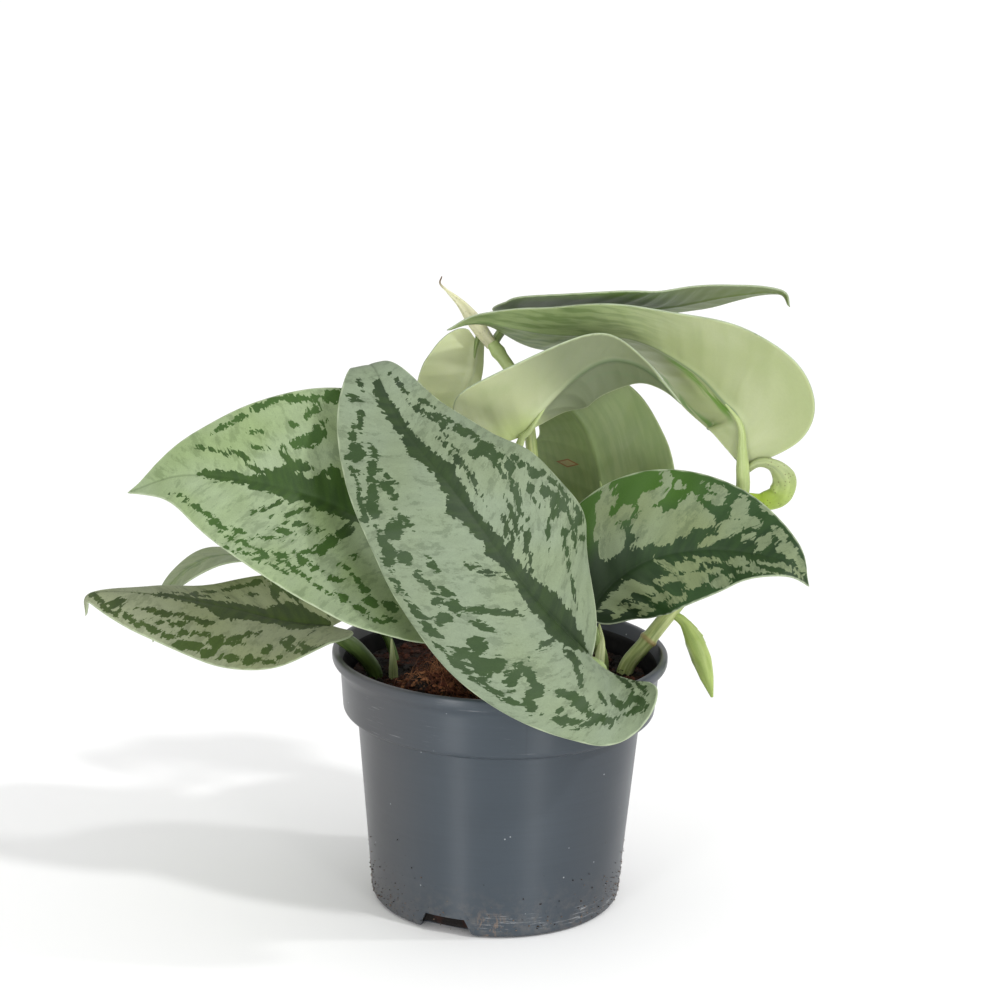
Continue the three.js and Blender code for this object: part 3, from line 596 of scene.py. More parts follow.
def leaf_upper(name, seed, silver, green, warm, bias, extra):
    """Silver blade with jagged green patches, fine grain, quilting between side veins and a pale margin.

    bias widens the green by that many mm, and extra(graph, places, color) tints the green.
    """
    graph = Graph(name)
    places = leaf_places(graph, seed)
    along, across, width, edge, vein, spot = places
    grain = graph.noise(graph.vector(along, across, seed), 2.6, 2, 0.7)
    dark, tone = patches(graph, spot, bias)
    deep = green_part(graph, places, seed, grain, green, extra)
    color = graph.mix(dark, silver_part(graph, places, seed, grain, tone, silver, green, warm), deep)
    color = graph.mix(graph.fade(width, 0.1, 0.7, 0.3), color, graph.shade(deep, 0.8))
    color = graph.mix(graph.fade(edge, 0, 0.6, 0.75), color, (168, 180, 150))
    puff = graph.step(side_veins(graph, vein, spot), 0, VEIN_STEP / 2)
    graph.bump(graph.blend(grain, 0.4, puff), 0.3, 0.35)
    return graph.finish(color, graph.line(dark, -0.06, 0.55), specular=0.22)


def leaf_under(name, seed, pale, shadow, through, extra):
    """Smooth pale underside, with the patches of the upper face faintly showing through.

    through is how strongly they show, and extra(graph, places, color) adds what only one leaf has.
    """
    graph = Graph(name)
    places = leaf_places(graph, seed)
    along, across, _, edge, vein, spot = places
    cloud = graph.noise(graph.vector(along, across, seed), 0.035)
    grain = graph.noise(graph.vector(along, across, seed), 2.2, 2, 0.6)
    color = graph.mix(graph.step(cloud, 0.3, 0.7), pale, shadow)
    streak = graph.noise(graph.vector(graph.times(vein, 0.16), graph.times(across, 0.03), seed), 1)
    color = graph.mix(graph.step(streak, 0.45, 0.7, 0, 0.35), color, shadow)
    soft = graph.line(graph.noise(spot, 0.25), 5, -2.5)
    mark = graph.step(graph.add(graph.attribute("mark"), soft), -2.5, 2.5, 0, through)
    color = graph.mix(mark, color, (112, 140, 76))
    if extra:
        color = extra(graph, places, color)
    color = graph.mix(graph.fade(edge, 0.1, 0.8, 0.4), color, (190, 200, 156))
    color = graph.shade(color, graph.line(grain, 0.12, 0.94))
    vein_ridge = graph.step(side_veins(graph, vein, spot), 0, 2.2)
    graph.bump(graph.blend(grain, 0.25, vein_ridge), 0.3, 0.35)
    return graph.finish(color, 0.5, specular=0.35, subsurface=0.25)


def near_petiole(graph, along, width, reach):
    """1 at the petiole, falling to 0 at reach mm from it."""
    root = graph.math("SQRT", graph.add(graph.times(along, along), graph.times(width, width)))
    return graph.fade(root, reach * 0.2, reach)


def lengthwise(graph, along, across, seed, low, high):
    """Streaks that run along the blade."""
    place = graph.vector(graph.times(along, 0.07), graph.times(across, 0.5), seed)
    return graph.step(graph.noise(place, 1), low, high)


def arch_extra(graph, places, color):
    """Bright streaks beside the midrib and the lower margin, and towards the tip a darker tone, which is painted
    shade, with darker streaks.
    """
    along, across, width, edge, _, _ = places
    lower = graph.fade(across, -0.8, 0.2)
    stretch = graph.window(along, 14, 24, 44, 60)
    beside = graph.window(width, 0.6, 1.6, 3, 6)
    near_edge = graph.window(edge, 0.8, 2, 3, 7)
    zone = graph.times(lower, stretch, graph.math("MAXIMUM", beside, near_edge))
    bright = graph.times(zone, lengthwise(graph, along, across, 2, 0.38, 0.55))
    color = graph.mix(graph.times(bright, 0.95), color, (98, 136, 54))
    # Painted shade: towards the tip, where the top leaf shades it, the underside is darker.
    far = graph.step(along, 46, 92)
    color = graph.mix(graph.times(far, 0.62), color, (124, 146, 92))
    dark = graph.times(far, lengthwise(graph, along, across, 5, 0.42, 0.62))
    color = graph.mix(graph.times(dark, 0.6), color, (88, 112, 58))
    line = graph.times(graph.fade(width, 0.1, 0.8, 0.7), graph.step(along, 30, 75, 1, 0.2))
    return graph.mix(line, color, (104, 126, 92))


def middle_extra(graph, places, color):
    """Bright funnel at the petiole, and painted shade: a darker blade beyond it, a greyer lower half, a dark crease
    along the midrib and a darker fold beside it.
    """
    along, across, width, _, _, _ = places
    # Painted shade: the blade beyond the funnel is darker.
    color = graph.mix(graph.step(along, 10, 30, 0, 0.9), color, (112, 121, 91))
    # Painted shade: the lower half is greyer.
    color = graph.mix(graph.step(across, -1, 1, 0, 0.8), color, (98, 109, 78))
    color = graph.mix(graph.times(near_petiole(graph, along, width, 15), 0.8), color, (190, 204, 138))
    # Painted shade in the crease along the midrib.
    crease = graph.times(graph.fade(width, 0.2, 1.4), graph.step(along, 20, 32, 0, 0.8))
    color = graph.mix(crease, color, (84, 102, 68))
    # Painted shade in a fold beside the midrib.
    fold = graph.fade(graph.off(across, 6.5), 0.2, 1.2, 0.35)
    return graph.mix(graph.times(fold, graph.step(along, 26, 36)), color, (96, 114, 80))


def back_extra(graph, places, color):
    """Soft upright streaks and one small brown-edged blemish."""
    along, across, _, _, _, _ = places
    streak = lengthwise(graph, along, across, 3, 0.4, 0.62)
    color = graph.mix(graph.times(streak, 0.3), color, (94, 116, 68))
    x, _, z = graph.parts(graph.place())
    off = graph.off(x, BLEMISH[0])
    rise = graph.off(z, BLEMISH[1])
    ring = graph.add(graph.times(off, 1 / BLEMISH_HALF[0]), graph.times(rise, 1 / BLEMISH_HALF[1]))
    color = graph.mix(graph.fade(ring, 0.95, 1.15, 0.55), color, (150, 128, 92))
    outline = graph.fade(graph.off(ring, 1), 0.08, 0.25, 0.85)
    return graph.mix(outline, color, (122, 72, 42))


def top_extra(graph, places, color):
    """Lighter beyond the middle as painted light; the nearer part is left darker as painted shade."""
    return graph.mix(graph.step(places[0], 46, 64, 0, 0.8), color, (100, 116, 54))


def top_green(graph, places, color):
    """Deep green that turns lighter beyond the middle, as painted light; the nearer part is left darker as painted
    shade.
    """
    return graph.mix(graph.step(places[0], 46, 64), color, (70, 86, 42))


def right_green(graph, places, color):
    """Deeper green at the petiole, and a fresher one along the upper margin as far as the middle."""
    along, across, _, _, _, _ = places
    color = graph.mix(graph.fade(along, 8, 34, 0.75), color, (20, 35, 13))
    zone = graph.times(graph.step(across, 10, 22), graph.fade(along, 40, 60))
    return graph.mix(zone, color, (50, 82, 18))


def stem_skin(name, low, high, tip, seed, freckles=0, tip_start=0.7, ring=None):
    """Smooth green skin with lengthwise streaks between the colours low and high.

    It takes the colour tip from the share tip_start of the way to the end. freckles is how strongly brown
    dots show, and ring is the share of the way at which a dry brown node goes round.
    """
    graph = Graph(name)
    run, turn, _ = graph.parts(graph.attribute("flat", "Vector"))
    place = graph.place()
    streak = graph.noise(graph.vector(graph.times(run, 2), graph.times(turn, 1.6), seed), 1.6, 2)
    color = graph.mix(graph.step(streak, 0.25, 0.75), low, high)
    color = graph.mix(graph.step(graph.attribute("share"), tip_start, 0.98), color, tip)
    if ring:
        off = graph.off(graph.attribute("share"), ring)
        color = graph.mix(graph.fade(off, 0.004, 0.016, 0.75), color, (158, 134, 92))
    speck = graph.cells(place, 0.75, "Distance")
    color = graph.mix(graph.fade(speck, 0.12, 0.26, freckles), color, (92, 70, 40))
    grain = graph.noise(place, 1.4, 3, 0.6)
    color = graph.shade(color, graph.line(grain, 0.2, 0.9))
    graph.bump(graph.blend(streak, 0.6, grain), 0.12, 0.25)
    return graph.finish(color, 0.42, specular=0.4, subsurface=0.2)


def pot_scuffs(graph, place, z):
    """Pale scuffs on the stacking band and scratches round the foot."""
    patchy = graph.step(graph.noise(place, 0.07, 2), 0.5, 0.66)
    scratch = graph.noise(graph.stretch(place, (0.05, 0.05, 1.6)), 1.3, 4, 0.75)
    band = graph.step(z, 68, 72)
    scuff = graph.times(graph.step(scratch, 0.6, 0.72, 0, 0.5), patchy, band)
    thin = graph.noise(graph.stretch(place, (0.09, 0.09, 2.2)), 1, 4, 0.8)
    foot = graph.times(graph.window(z, 1.5, 4, 7, 11), patchy, graph.step(thin, 0.55, 0.6, 0, 0.8))
    return graph.math("MAXIMUM", scuff, foot)


def pot_smear(graph, x, y, z):
    """Strands of soil dried on the front of the foot."""
    zone = graph.times(graph.fade(graph.off(x, -1.5), 2.5, 7), graph.fade(y, -1, 0), graph.fade(z, 5, 13))
    strand = graph.noise(graph.vector(graph.times(x, 0.5), graph.times(z, 0.22), 6), 1.6, 4, 0.7)
    return graph.times(zone, graph.step(strand, 0.53, 0.58, 0, 0.6))


def pot_plastic():
    """Dark blue-grey plastic: faint flow lines, dust, scuffs, pale flecks, a seam and a smear of soil.

    The left side has painted light, lighter and browner, and the right side has painted shade, darker.
    """
    graph = Graph("pot_plastic")
    place = graph.place()
    x, y, z = graph.parts(place)
    cloud = graph.noise(place, 0.05, 3)
    ring = graph.noise(graph.stretch(place, (0.02, 0.02, 0.9)), 1, 3, 0.6)
    grain = graph.noise(place, 1.6, 3, 0.6)
    color = graph.mix(cloud, (49, 58, 66), (55, 64, 72))
    # Painted light: the left side is lighter and browner.
    color = graph.mix(graph.fade(x, -46, -14, 0.6), color, (76, 74, 74))
    # Painted shade: the right side is darker.
    color = graph.mix(graph.step(x, 8, 44, 0, 0.7), color, (32, 39, 47))
    color = graph.shade(color, graph.line(ring, 0.2, 0.9))
    low = graph.fade(z, 1, 24)
    dust = graph.times(low, graph.step(graph.noise(place, 0.33, 5, 0.68), 0.42, 0.72, 0, 0.5))
    color = graph.mix(dust, color, (96, 92, 88))
    scuff = pot_scuffs(graph, place, z)
    color = graph.mix(scuff, color, (150, 152, 154))
    fleck = graph.fade(graph.cells(place, 0.13, "Distance"), 0.02, 0.045, 0.7)
    color = graph.mix(fleck, color, (170, 174, 178))
    seam = graph.times(graph.fade(graph.off(x, 9.5), 0.1, 0.5, 0.25), graph.step(z, 69, 71))
    color = graph.mix(seam, color, (40, 46, 54))
    color = graph.mix(pot_smear(graph, x, y, z), color, (114, 97, 84))
    graph.bump(graph.blend(grain, 0.4, ring), 0.12, 0.25)
    roughness = graph.line(graph.add(dust, scuff), 0.3, 0.4)
    roughness = graph.add(roughness, graph.line(cloud, 0.12, -0.06))
    around = graph.node("ShaderNodeTangent", {}, direction_type="RADIAL", axis="Z").outputs[0]
    graph.plug(graph.shader.inputs["Tangent"], around)
    return graph.finish(color, roughness, specular=0.5, anisotropic=0.85, turn=0.25)


def pot_inside_painted_shade():
    """Inner face in near-black painted shade, a little dusty."""
    graph = Graph("pot_inside_painted_shade")
    place = graph.place()
    grain = graph.noise(place, 0.6, 4, 0.7)
    color = graph.mix(graph.step(grain, 0.4, 0.75), (9, 9, 10), (26, 24, 23))
    graph.bump(grain, 0.2, 0.3)
    return graph.finish(color, graph.line(grain, 0.3, 0.35), specular=0.25)


def grit():
    """Specks of dried soil."""
    graph = Graph("grit")
    grain = graph.noise(graph.place(), 2, 3, 0.6)
    color = graph.mix(graph.step(graph.attribute("tint"), 0.2, 0.9), (34, 28, 24), (112, 96, 82))
    graph.bump(grain, 0.5, 0.3)
    return graph.finish(graph.shade(color, graph.line(grain, 0.6, 0.7)), 0.85, specular=0.2)


def coir(name, dark, light, red):
    """Crumbled coir and peat. Each crumb or fibre has its own tint."""
    graph = Graph(name)
    place = graph.place()
    tint = graph.attribute("tint")
    grain = graph.noise(place, 1.1, 4, 0.7)
    tint = graph.add(tint, graph.line(grain, 0.8, -0.4))
    color = graph.mix(graph.step(tint, 0.25, 0.95), dark, light)
    color = graph.mix(graph.step(graph.noise(place, 0.12, 2), 0.42, 0.6, 0, 0.6), color, red)
    graph.bump(grain, 0.8, 0.8)
    return graph.finish(color, 0.85, specular=0.25)


# ------------------------------------------------------------------ meshes


def make_piece(name, vertices, faces, materials, nodes, indices=None, attributes=None):
    """One piece from points in mm. It rides on the root body and stands for the CAD nodes named."""
    mesh = bpy.data.meshes.new(name)
    points = (np.asarray(vertices, float) * MM).tolist()
    mesh.from_pydata(points, [], [list(map(int, face)) for face in faces])
    for material in materials:
        mesh.materials.append(material)
    if indices is not None:
        mesh.polygons.foreach_set("material_index", np.asarray(indices, np.int32))
    for key, values in (attributes or {}).items():
        values = np.asarray(values, np.float32)
        kind = "FLOAT_VECTOR" if values.ndim == 2 else "FLOAT"
        layer = mesh.attributes.new(key, kind, "POINT")
        layer.data.foreach_set("vector" if values.ndim == 2 else "value", values.ravel())
    mesh.polygons.foreach_set("use_smooth", np.ones(len(mesh.polygons), bool))
    mesh.update()
    piece = bpy.data.objects.new(name, mesh)
    bpy.context.scene.collection.objects.link(piece)
    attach(piece, BODY)
    if nodes:
        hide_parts(*nodes)
    return piece


def coir_piece(name, vertices, faces, material, tints, nodes=()):
    """A piece of coir or soil, whose points carry their tint."""
    make_piece(name, vertices, faces, [material], nodes, None, {"tint": tints})


def circle(radius, height, segments):
    """Points of a level circle round the pot's axis."""
    angles = [2 * math.pi * j / segments for j in range(segments)]
    return [(radius * math.cos(angle), radius * math.sin(angle), height) for angle in angles]


def revolve(section, segments):
    """Vertices and faces of a turned solid, from (radius, height) on the axis below to the axis above."""
    rings = section[1:-1]
    vertices = [(0, 0, section[0][1])]
    for radius, height in rings:
        vertices += circle(radius, height, segments)
    vertices.append((0, 0, section[-1][1]))
    last = len(vertices) - 1
    top = last - segments
    faces = []
    for j in range(segments):
        k = (j + 1) % segments
        faces.append((0, 1 + k, 1 + j))
        faces.append((last, top + j, top + k))
        for a in range(1, top, segments):
            faces.append((a + j, a + k, a + k + segments, a + j + segments))
    return vertices, faces


def tube_faces(rings, sides, start=0):
    """Faces of a closed tube whose first point has the index start."""
    end = start + (rings - 1) * sides
    faces = []
    for first in range(start, end, sides):
        for j in range(sides):
            k = (j + 1) % sides
            faces.append((first + j, first + k, first + k + sides, first + j + sides))
    faces.append(tuple(range(start + sides - 1, start - 1, -1)))
    faces.append(tuple(range(end, end + sides)))
    return faces


def spline(points, count):
    """Catmull-Rom curve through the points, sampled evenly along its length, and that length."""
    p = np.array(points, float)
    ends = np.vstack([2 * p[0] - p[1], p, 2 * p[-1] - p[-2]])
    t = np.linspace(0, 1, 60, endpoint=False)[:, None]
    fine = []
    for i in range(len(p) - 1):
        a, b, c, d = ends[i : i + 4]
        curve = 2 * b + (c - a) * t + (2 * a - 5 * b + 4 * c - d) * t**2 + (3 * b - a - 3 * c + d) * t**3
        fine.append(0.5 * curve)
    fine = np.vstack([*fine, p[-1:]])
    run = np.concatenate([[0], np.cumsum(np.linalg.norm(np.diff(fine, axis=0), axis=1))])
    at = np.linspace(0, run[-1], count)
    return np.stack([np.interp(at, run, fine[:, k]) for k in range(p.shape[1])], -1), run[-1]


def unit(vectors):
    return vectors / np.maximum(np.linalg.norm(vectors, axis=-1, keepdims=True), 1e-9)


def along3(values, t):
    """Value at share t of the way, from the values at the base, the middle and the tip."""
    base, middle, tip = values
    return base * (1 - t) * (1 - 2 * t) + 4 * middle * t * (1 - t) + tip * t * (2 * t - 1)


def smooth(values, reach):
    """Moving average over reach rows each way, with the end rows kept."""
    before = 2 * values[:1] - values[reach:0:-1]
    after = 2 * values[-1:] - values[-2 : -reach - 2 : -1]
    padded = np.concatenate([before, values, after])
    total = sum(padded[k : k + len(values)] for k in range(2 * reach + 1))
    return total / (2 * reach + 1)


class Blade:
    """The bent heart-shaped blade of the CAD, for arrays of flat places."""

    SAMPLES = 400
    TANGENT_REACH = 14               # samples each way over which the directions are smoothed
    FACE_REACH = 44

    def __init__(self, leaf):
        self.leaf = leaf
        self.rib, self.length = spline(leaf["rib"], self.SAMPLES + 1)
        self.tangents = unit(smooth(np.gradient(self.rib, axis=0), self.TANGENT_REACH))
        stations = np.linspace(0, 1, len(leaf["face"]))
        shares = np.linspace(0, 1, self.SAMPLES + 1)
        faces = np.array(leaf["face"], float)
        faces = np.stack([np.interp(shares, stations, faces[:, k]) for k in range(3)], -1)
        self.faces = smooth(faces, self.FACE_REACH)

    def half(self, share, side):
        return np.maximum(2.0, along3(self.leaf["half"][side], np.clip(share, 0, 1)))

    def frame(self, along):
        """Midrib points, tangents, upper-face normals and left-hand directions. Below 0 is in the lobes."""
        share = np.clip(along / self.length, 0, 1)
        at = share * self.SAMPLES
        low = np.minimum(at.astype(int), self.SAMPLES - 1)
        part = (at - low)[:, None]
        point = self.rib[low] * (1 - part) + self.rib[low + 1] * part
        tangent = unit(self.tangents[low] * (1 - part) + self.tangents[low + 1] * part)
        normal = self.faces[low] * (1 - part) + self.faces[low + 1] * part
        normal = unit(normal - tangent * np.sum(normal * tangent, -1, keepdims=True))
        behind = np.minimum(along, 0)[:, None]
        drop = math.radians(self.leaf["drop"]) * np.minimum(1.5, -behind / (0.16 * self.length))
        point = point + behind * (np.cos(drop / 2) * tangent + np.sin(drop / 2) * normal)
        tangent, normal = (
            np.cos(drop) * tangent + np.sin(drop) * normal,
            np.cos(drop) * normal - np.sin(drop) * tangent,
        )
        return point, tangent, normal, np.cross(normal, tangent)

    def place(self, along, across):
        """Places in space of flat points, left of the midrib where across is positive."""
        point, _, normal, left = self.frame(along)
        share = np.clip(along / self.length, 0, 1)
        width = np.abs(across)
        is_left = across >= 0
        curl = np.where(is_left, along3(self.leaf["curl"][0], share), along3(self.leaf["curl"][1], share))
        half = np.where(is_left, self.half(share, 0), self.half(share, 1))
        fold = np.radians(along3(self.leaf["fold"], share))
        bend = np.radians(curl) / half
        bend = np.where(np.abs(bend) < 1e-6, 1e-6, bend)
        out = (np.sin(fold + bend * width) - np.sin(fold)) / bend
        up = (np.cos(fold) - np.cos(fold + bend * width)) / bend
        return point + left * (np.sign(across + 1e-12) * out)[:, None] + normal * up[:, None]

    def outline(self, side, count):
        """Flat outline of one half, from the petiole to the tip, in mm."""
        lobe = self.leaf["lobe"][side]
        points = []
        for i, (along, across) in enumerate(HEART):
            oval = OVAL_BASE[i] if i < len(OVAL_BASE) else along
            points.append((oval * (1 - lobe) + along * lobe, across))
        flat, _ = spline(points, count)
        sign = 1 if side == 0 else -1
        return np.stack([flat[:, 0] * self.length, sign * flat[:, 1] * self.half(flat[:, 0], side)], -1)

    def grid(self, rows, columns):
        """Flat (along, across) of each row from the left margin to the right one."""
        count = 10 * rows
        edges = [self.outline(0, count + 1), self.outline(1, count + 1)]
        flat = np.zeros((rows, 2 * columns + 1, 2))
        for k in range(rows):
            start = (k / rows) ** 1.7 * self.length
            for j in range(-columns, columns + 1):
                edge = edges[1 if j > 0 else 0][round((0.1 + 0.9 * k / rows) * count)]
                share = abs(j) / columns
                flat[k, j + columns] = (start + (edge[0] - start) * share, edge[1] * share)
        return flat


def random_marks(blade, seed):
    """Band and patches of a blade whose upper face is turned away."""
    dice = random.Random(seed)
    length = blade.length
    band = [(0, 2, 2)]
    for share in (0.12, 0.25, 0.4, 0.55, 0.7):
        band.append((share * length, dice.uniform(2.5, 6), dice.uniform(2.5, 6)))
    band.append((0.88 * length, 1, 1))
    band.append((0.93 * length, -2, -2))
    marks = []
    for _ in range(int(length * 0.75)):
        share = dice.uniform(-0.05, 0.93)
        side = dice.choice((0, 1))
        reach = dice.uniform(0.72, 0.92) if dice.random() < 0.7 else dice.uniform(0.2, 0.8)
        width = np.interp(share, [0, 0.25, 0.63, 1], [0.9, 1, 0.68, 0])
        across = reach * width * float(blade.half(share, side))
        turn = (52 - 45 * reach) + dice.uniform(-22, 22)
        sign = 1 if side == 0 else -1
        long_half, short_half = dice.uniform(1.8, 4.5), dice.uniform(0.8, 2)
        marks.append((share * length, sign * across, long_half, short_half, sign * turn))
    return band, marks


def patch_field(leaf, blade, along, across, seed):
    """How deep in mm a flat place lies in the green, negative in the silver."""
    if "marks" in leaf:
        band, marks = leaf["band"], leaf["marks"]
    else:
        band, marks = random_marks(blade, seed)
    field = np.full(along.shape, -6.0)
    for at, off, long_half, short_half, turn in marks:
        angle = math.radians(turn)
        dx, dy = along - at, across - off
        forward = (dx * math.cos(angle) + dy * math.sin(angle)) / long_half
        sideways = (-dx * math.sin(angle) + dy * math.cos(angle)) / short_half
        reach = np.sqrt(forward**2 + sideways**2)
        field = np.maximum(field, (1 - reach) * min(long_half, short_half) * 1.15)
    if leaf.get("green_ground"):
        field = -field
    stations = np.array(band, float)
    left = np.interp(along, stations[:, 0], stations[:, 1], left=-6)
    right = np.interp(along, stations[:, 0], stations[:, 2], left=-6)
    return np.maximum(field, np.where(across >= 0, left - across, right + across))


def ripple(blade, along, across, edge, seed):
    """Raised and sunk parts of the whole blade: quilting between side veins and a soft, uneven margin."""
    width = np.abs(across)
    vein = along - VEIN_LEAN * width
    inside = np.clip(width / 6, 0, 1) * np.clip(edge / 4, 0, 1)
    quilt = 0.16 * np.cos(2 * np.pi * vein / VEIN_STEP) * inside
    phase = seed * 1.7
    swell = 0.32 * np.sin(along / 9 + phase) * np.sin(across / 8 + 2 * phase)
    near = np.exp(-edge / 5)
    wave = 0.3 * near * np.sin(along / 4.7 + 3 * phase + np.sign(across)) * np.clip(width / 8, 0, 1)
    tip = np.clip((blade.length - along) / 12, 0, 1)
    return quilt + (swell * np.clip(width / 8, 0, 1) + wave) * tip


def margin_distance(blade, along, across):
    """Distance of flat places from the blade's outline."""
    edge = np.full(along.shape, 1e9)
    for side in (0, 1):
        for point in blade.outline(side, 200):
            edge = np.minimum(edge, np.hypot(along - point[0], across - point[1]))
    return edge


def round_the_margin(rows, wide):
    """Indices of the grid's outer points, once round by way of the tip, which comes after the grid."""
    rim = list(range(wide))
    rim += [i * wide + wide - 1 for i in range(1, rows)]
    rim.append(rows * wide)
    rim += [i * wide for i in range(rows - 1, 0, -1)]
    return np.array(rim)


def blade_faces(rows, wide, rim):
    """Faces of both sides and the rounded margin, with material index 1 for the underside."""
    count = rows * wide + 1
    last = (rows - 1) * wide
    faces = []
    for a in (i * wide + j for i in range(rows - 1) for j in range(wide - 1)):
        faces.append((a, a + 1, a + wide + 1, a + wide))
        faces.append((count + a, count + a + wide, count + a + wide + 1, count + a + 1))
    for a in range(last, last + wide - 1):
        faces.append((a, a + 1, count - 1))
        faces.append((count + a, 2 * count - 1, count + a + 1))
    indices = [0, 1] * (len(faces) // 2) + [0] * (2 * len(rim))
    for i, here in enumerate(rim):
        k = (i + 1) % len(rim)
        faces.append((here, 2 * count + i, 2 * count + k, rim[k]))
        faces.append((2 * count + i, count + here, count + rim[k], 2 * count + k))
    return faces, indices


def bent_sheet(leaf, blade, along, across, edge, seed):
    """Points halfway through the blade, with their normals on the upper side."""
    rows, columns = leaf["grid"]
    wide = 2 * columns + 1
    middle = blade.place(along, across)
    sheet = middle[:-1].reshape(rows, wide, 3)
    if "soften" in leaf:
        sheet = smooth(sheet, leaf["soften"])
        middle[:-1] = sheet.reshape(-1, 3)
    normals = unit(np.cross(np.gradient(sheet, axis=1), np.gradient(sheet, axis=0))).reshape(-1, 3)
    normals = np.vstack([normals, normals[(rows - 1) * wide + columns]])
    return middle + normals * ripple(blade, along, across, edge, seed)[:, None], normals


def make_leaf(name, leaf, seed, upper, under):
    """Thin closed blade with a rounded margin, a grooved upper face and a raised midrib below."""
    blade = Blade(leaf)
    rows, columns = leaf["grid"]
    wide = 2 * columns + 1
    flat = blade.grid(rows, columns)
    along = np.append(flat[..., 0].ravel(), blade.length)
    across = np.append(flat[..., 1].ravel(), 0.0)
    edge = margin_distance(blade, along, across)
    middle, normals = bent_sheet(leaf, blade, along, across, edge, seed)

    width = np.abs(across)
    share = np.clip(along / blade.length, 0, 1)
    fade = np.clip(1.15 - share, 0, 1) * np.clip((along + 2) / 6, 0, 1)
    groove = 0.35 * fade * np.exp(-((width / 0.8) ** 2))
    ridge = 0.75 * fade * np.exp(-((width / (0.7 + 0.6 * (1 - share))) ** 2))
    half = np.full(along.shape, BLADE / 2)
    half[-1] = 0.1
    above = middle + normals * (half - groove)[:, None]
    below = middle - normals * (half + ridge)[:, None]
    rim = round_the_margin(rows, wide)
    travel = np.roll(middle[rim], -1, 0) - np.roll(middle[rim], 1, 0)
    outward = unit(np.cross(travel, normals[rim]))
    lip = middle[rim] + outward * (0.8 * half[rim])[:, None]

    mark = patch_field(leaf, blade, along, across, seed)
    flats = np.stack([along, across, edge], -1)
    lip_flats = flats[rim].copy()
    lip_flats[:, 2] = -0.3
    attributes = {
        "flat": np.vstack([flats, flats, lip_flats]),
        "mark": np.concatenate([mark, mark, mark[rim]]),
    }
    vertices = np.vstack([above, below, lip])
    faces, indices = blade_faces(rows, wide, rim)
    make_piece(name, vertices, faces, [upper, under], [leaf["node"]], indices, attributes)


def tube_frames(path, count):
    """Even points on a path with a side and a second side that don't twist."""
    points, length = spline(path, count)
    tangents = unit(np.gradient(points, axis=0))
    side = np.cross(tangents[0], (0.3, 1, 0.2))
    sides = []
    for tangent in tangents:
        side = unit(side - tangent * np.dot(side, tangent))
        sides.append(side)
    sides = np.array(sides)
    return points, sides, np.cross(tangents, sides), length


def make_tube(name, path, radii, material, node, sides=18, count=60, shape=None, squash=1.0):
    """Round stem along a path. shape(share, angle) scales the radius, squash flattens one way."""
    points, first, second, length = tube_frames(path, count)
    shares = np.linspace(0, 1, count)
    thick = np.interp(shares, np.linspace(0, 1, len(radii)), radii)
    vertices, flats = [], []
    for i in range(count):
        for j in range(sides):
            angle = 2 * math.pi * j / sides
            radius = thick[i] * (shape(shares[i], angle) if shape else 1)
            offset = first[i] * radius * math.cos(angle) + second[i] * radius * squash * math.sin(angle)
            vertices.append(points[i] + offset)
            flats.append((shares[i] * length / 40, math.cos(angle), math.sin(angle)))
    attributes = {"flat": flats, "share": np.repeat(shares, sides)}
    make_piece(name, vertices, tube_faces(count, sides), [material], [node], None, attributes)


def petiole_tube(name, leaf, material):
    """Petiole from the soil or stem to the blade, swollen under it, running out below the midrib."""
    blade = Blade(leaf)
    stalk = leaf["stalk"]
    shares = np.array([0.0, 0.05, 0.12, 0.2])
    swell = leaf.get("swell", 1)
    thin = np.array([0.95 * stalk, 0.62 * swell * stalk, 0.4 * swell * stalk, 0.25])
    point, _, normal, _ = blade.frame(shares * blade.length)
    ridge = point - normal * (0.85 * thin + 0.25)[:, None]
    path = leaf["petiole"] + ridge.tolist()
    radii = [stalk] * (len(leaf["petiole"]) - 1) + [stalk * 1.03] + thin.tolist()
    make_tube(name, path, radii, material, leaf["node"], count=90)


# ------------------------------------------------------------------ pot


def notch_cutter(angle):
    """Trapezoid prism that cuts one drain notch."""
    wide = NOTCH_WIDTH / 2
    narrow = wide - NOTCH_SLANT
    ends = []
    for radius in NOTCH_RADII:
        ends += [(radius, -wide, -1), (radius, wide, -1)]
        ends += [(radius, narrow, NOTCH_HEIGHT), (radius, -narrow, NOTCH_HEIGHT)]
    turn = np.array(Matrix.Rotation(math.radians(angle), 3, "Z"))
    faces = [(3, 2, 1, 0), (4, 5, 6, 7), (0, 1, 5, 4), (1, 2, 6, 5), (2, 3, 7, 6), (3, 0, 4, 7)]
    mesh = bpy.data.meshes.new("notch_cutter")
    mesh.from_pydata((np.array(ends) @ turn.T * MM).tolist(), [], faces)
    cutter = bpy.data.objects.new("notch_cutter", mesh)
    bpy.context.scene.collection.objects.link(cutter)
    return cutter


def rounded(corners, steps=5):
    """Section through the corners, each one rounded off, with the corner that each point belongs to."""
    points, owners = [], []
    for k, (radius, height, rounding) in enumerate(corners):
        here = np.array([radius, height], float)
        if not rounding:
            points.append(here)
            owners.append(k)
            continue
        before = np.array(corners[k - 1][:2], float) - here
        after = np.array(corners[k + 1][:2], float) - here
        enter = here + before * min(0.48, rounding / np.linalg.norm(before))
        leave = here + after * min(0.48, rounding / np.linalg.norm(after))
        for t in np.linspace(0, 1, steps):
            points.append((1 - t) ** 2 * enter + 2 * t * (1 - t) * here + t * t * leave)
            owners.append(k)
    return points, owners


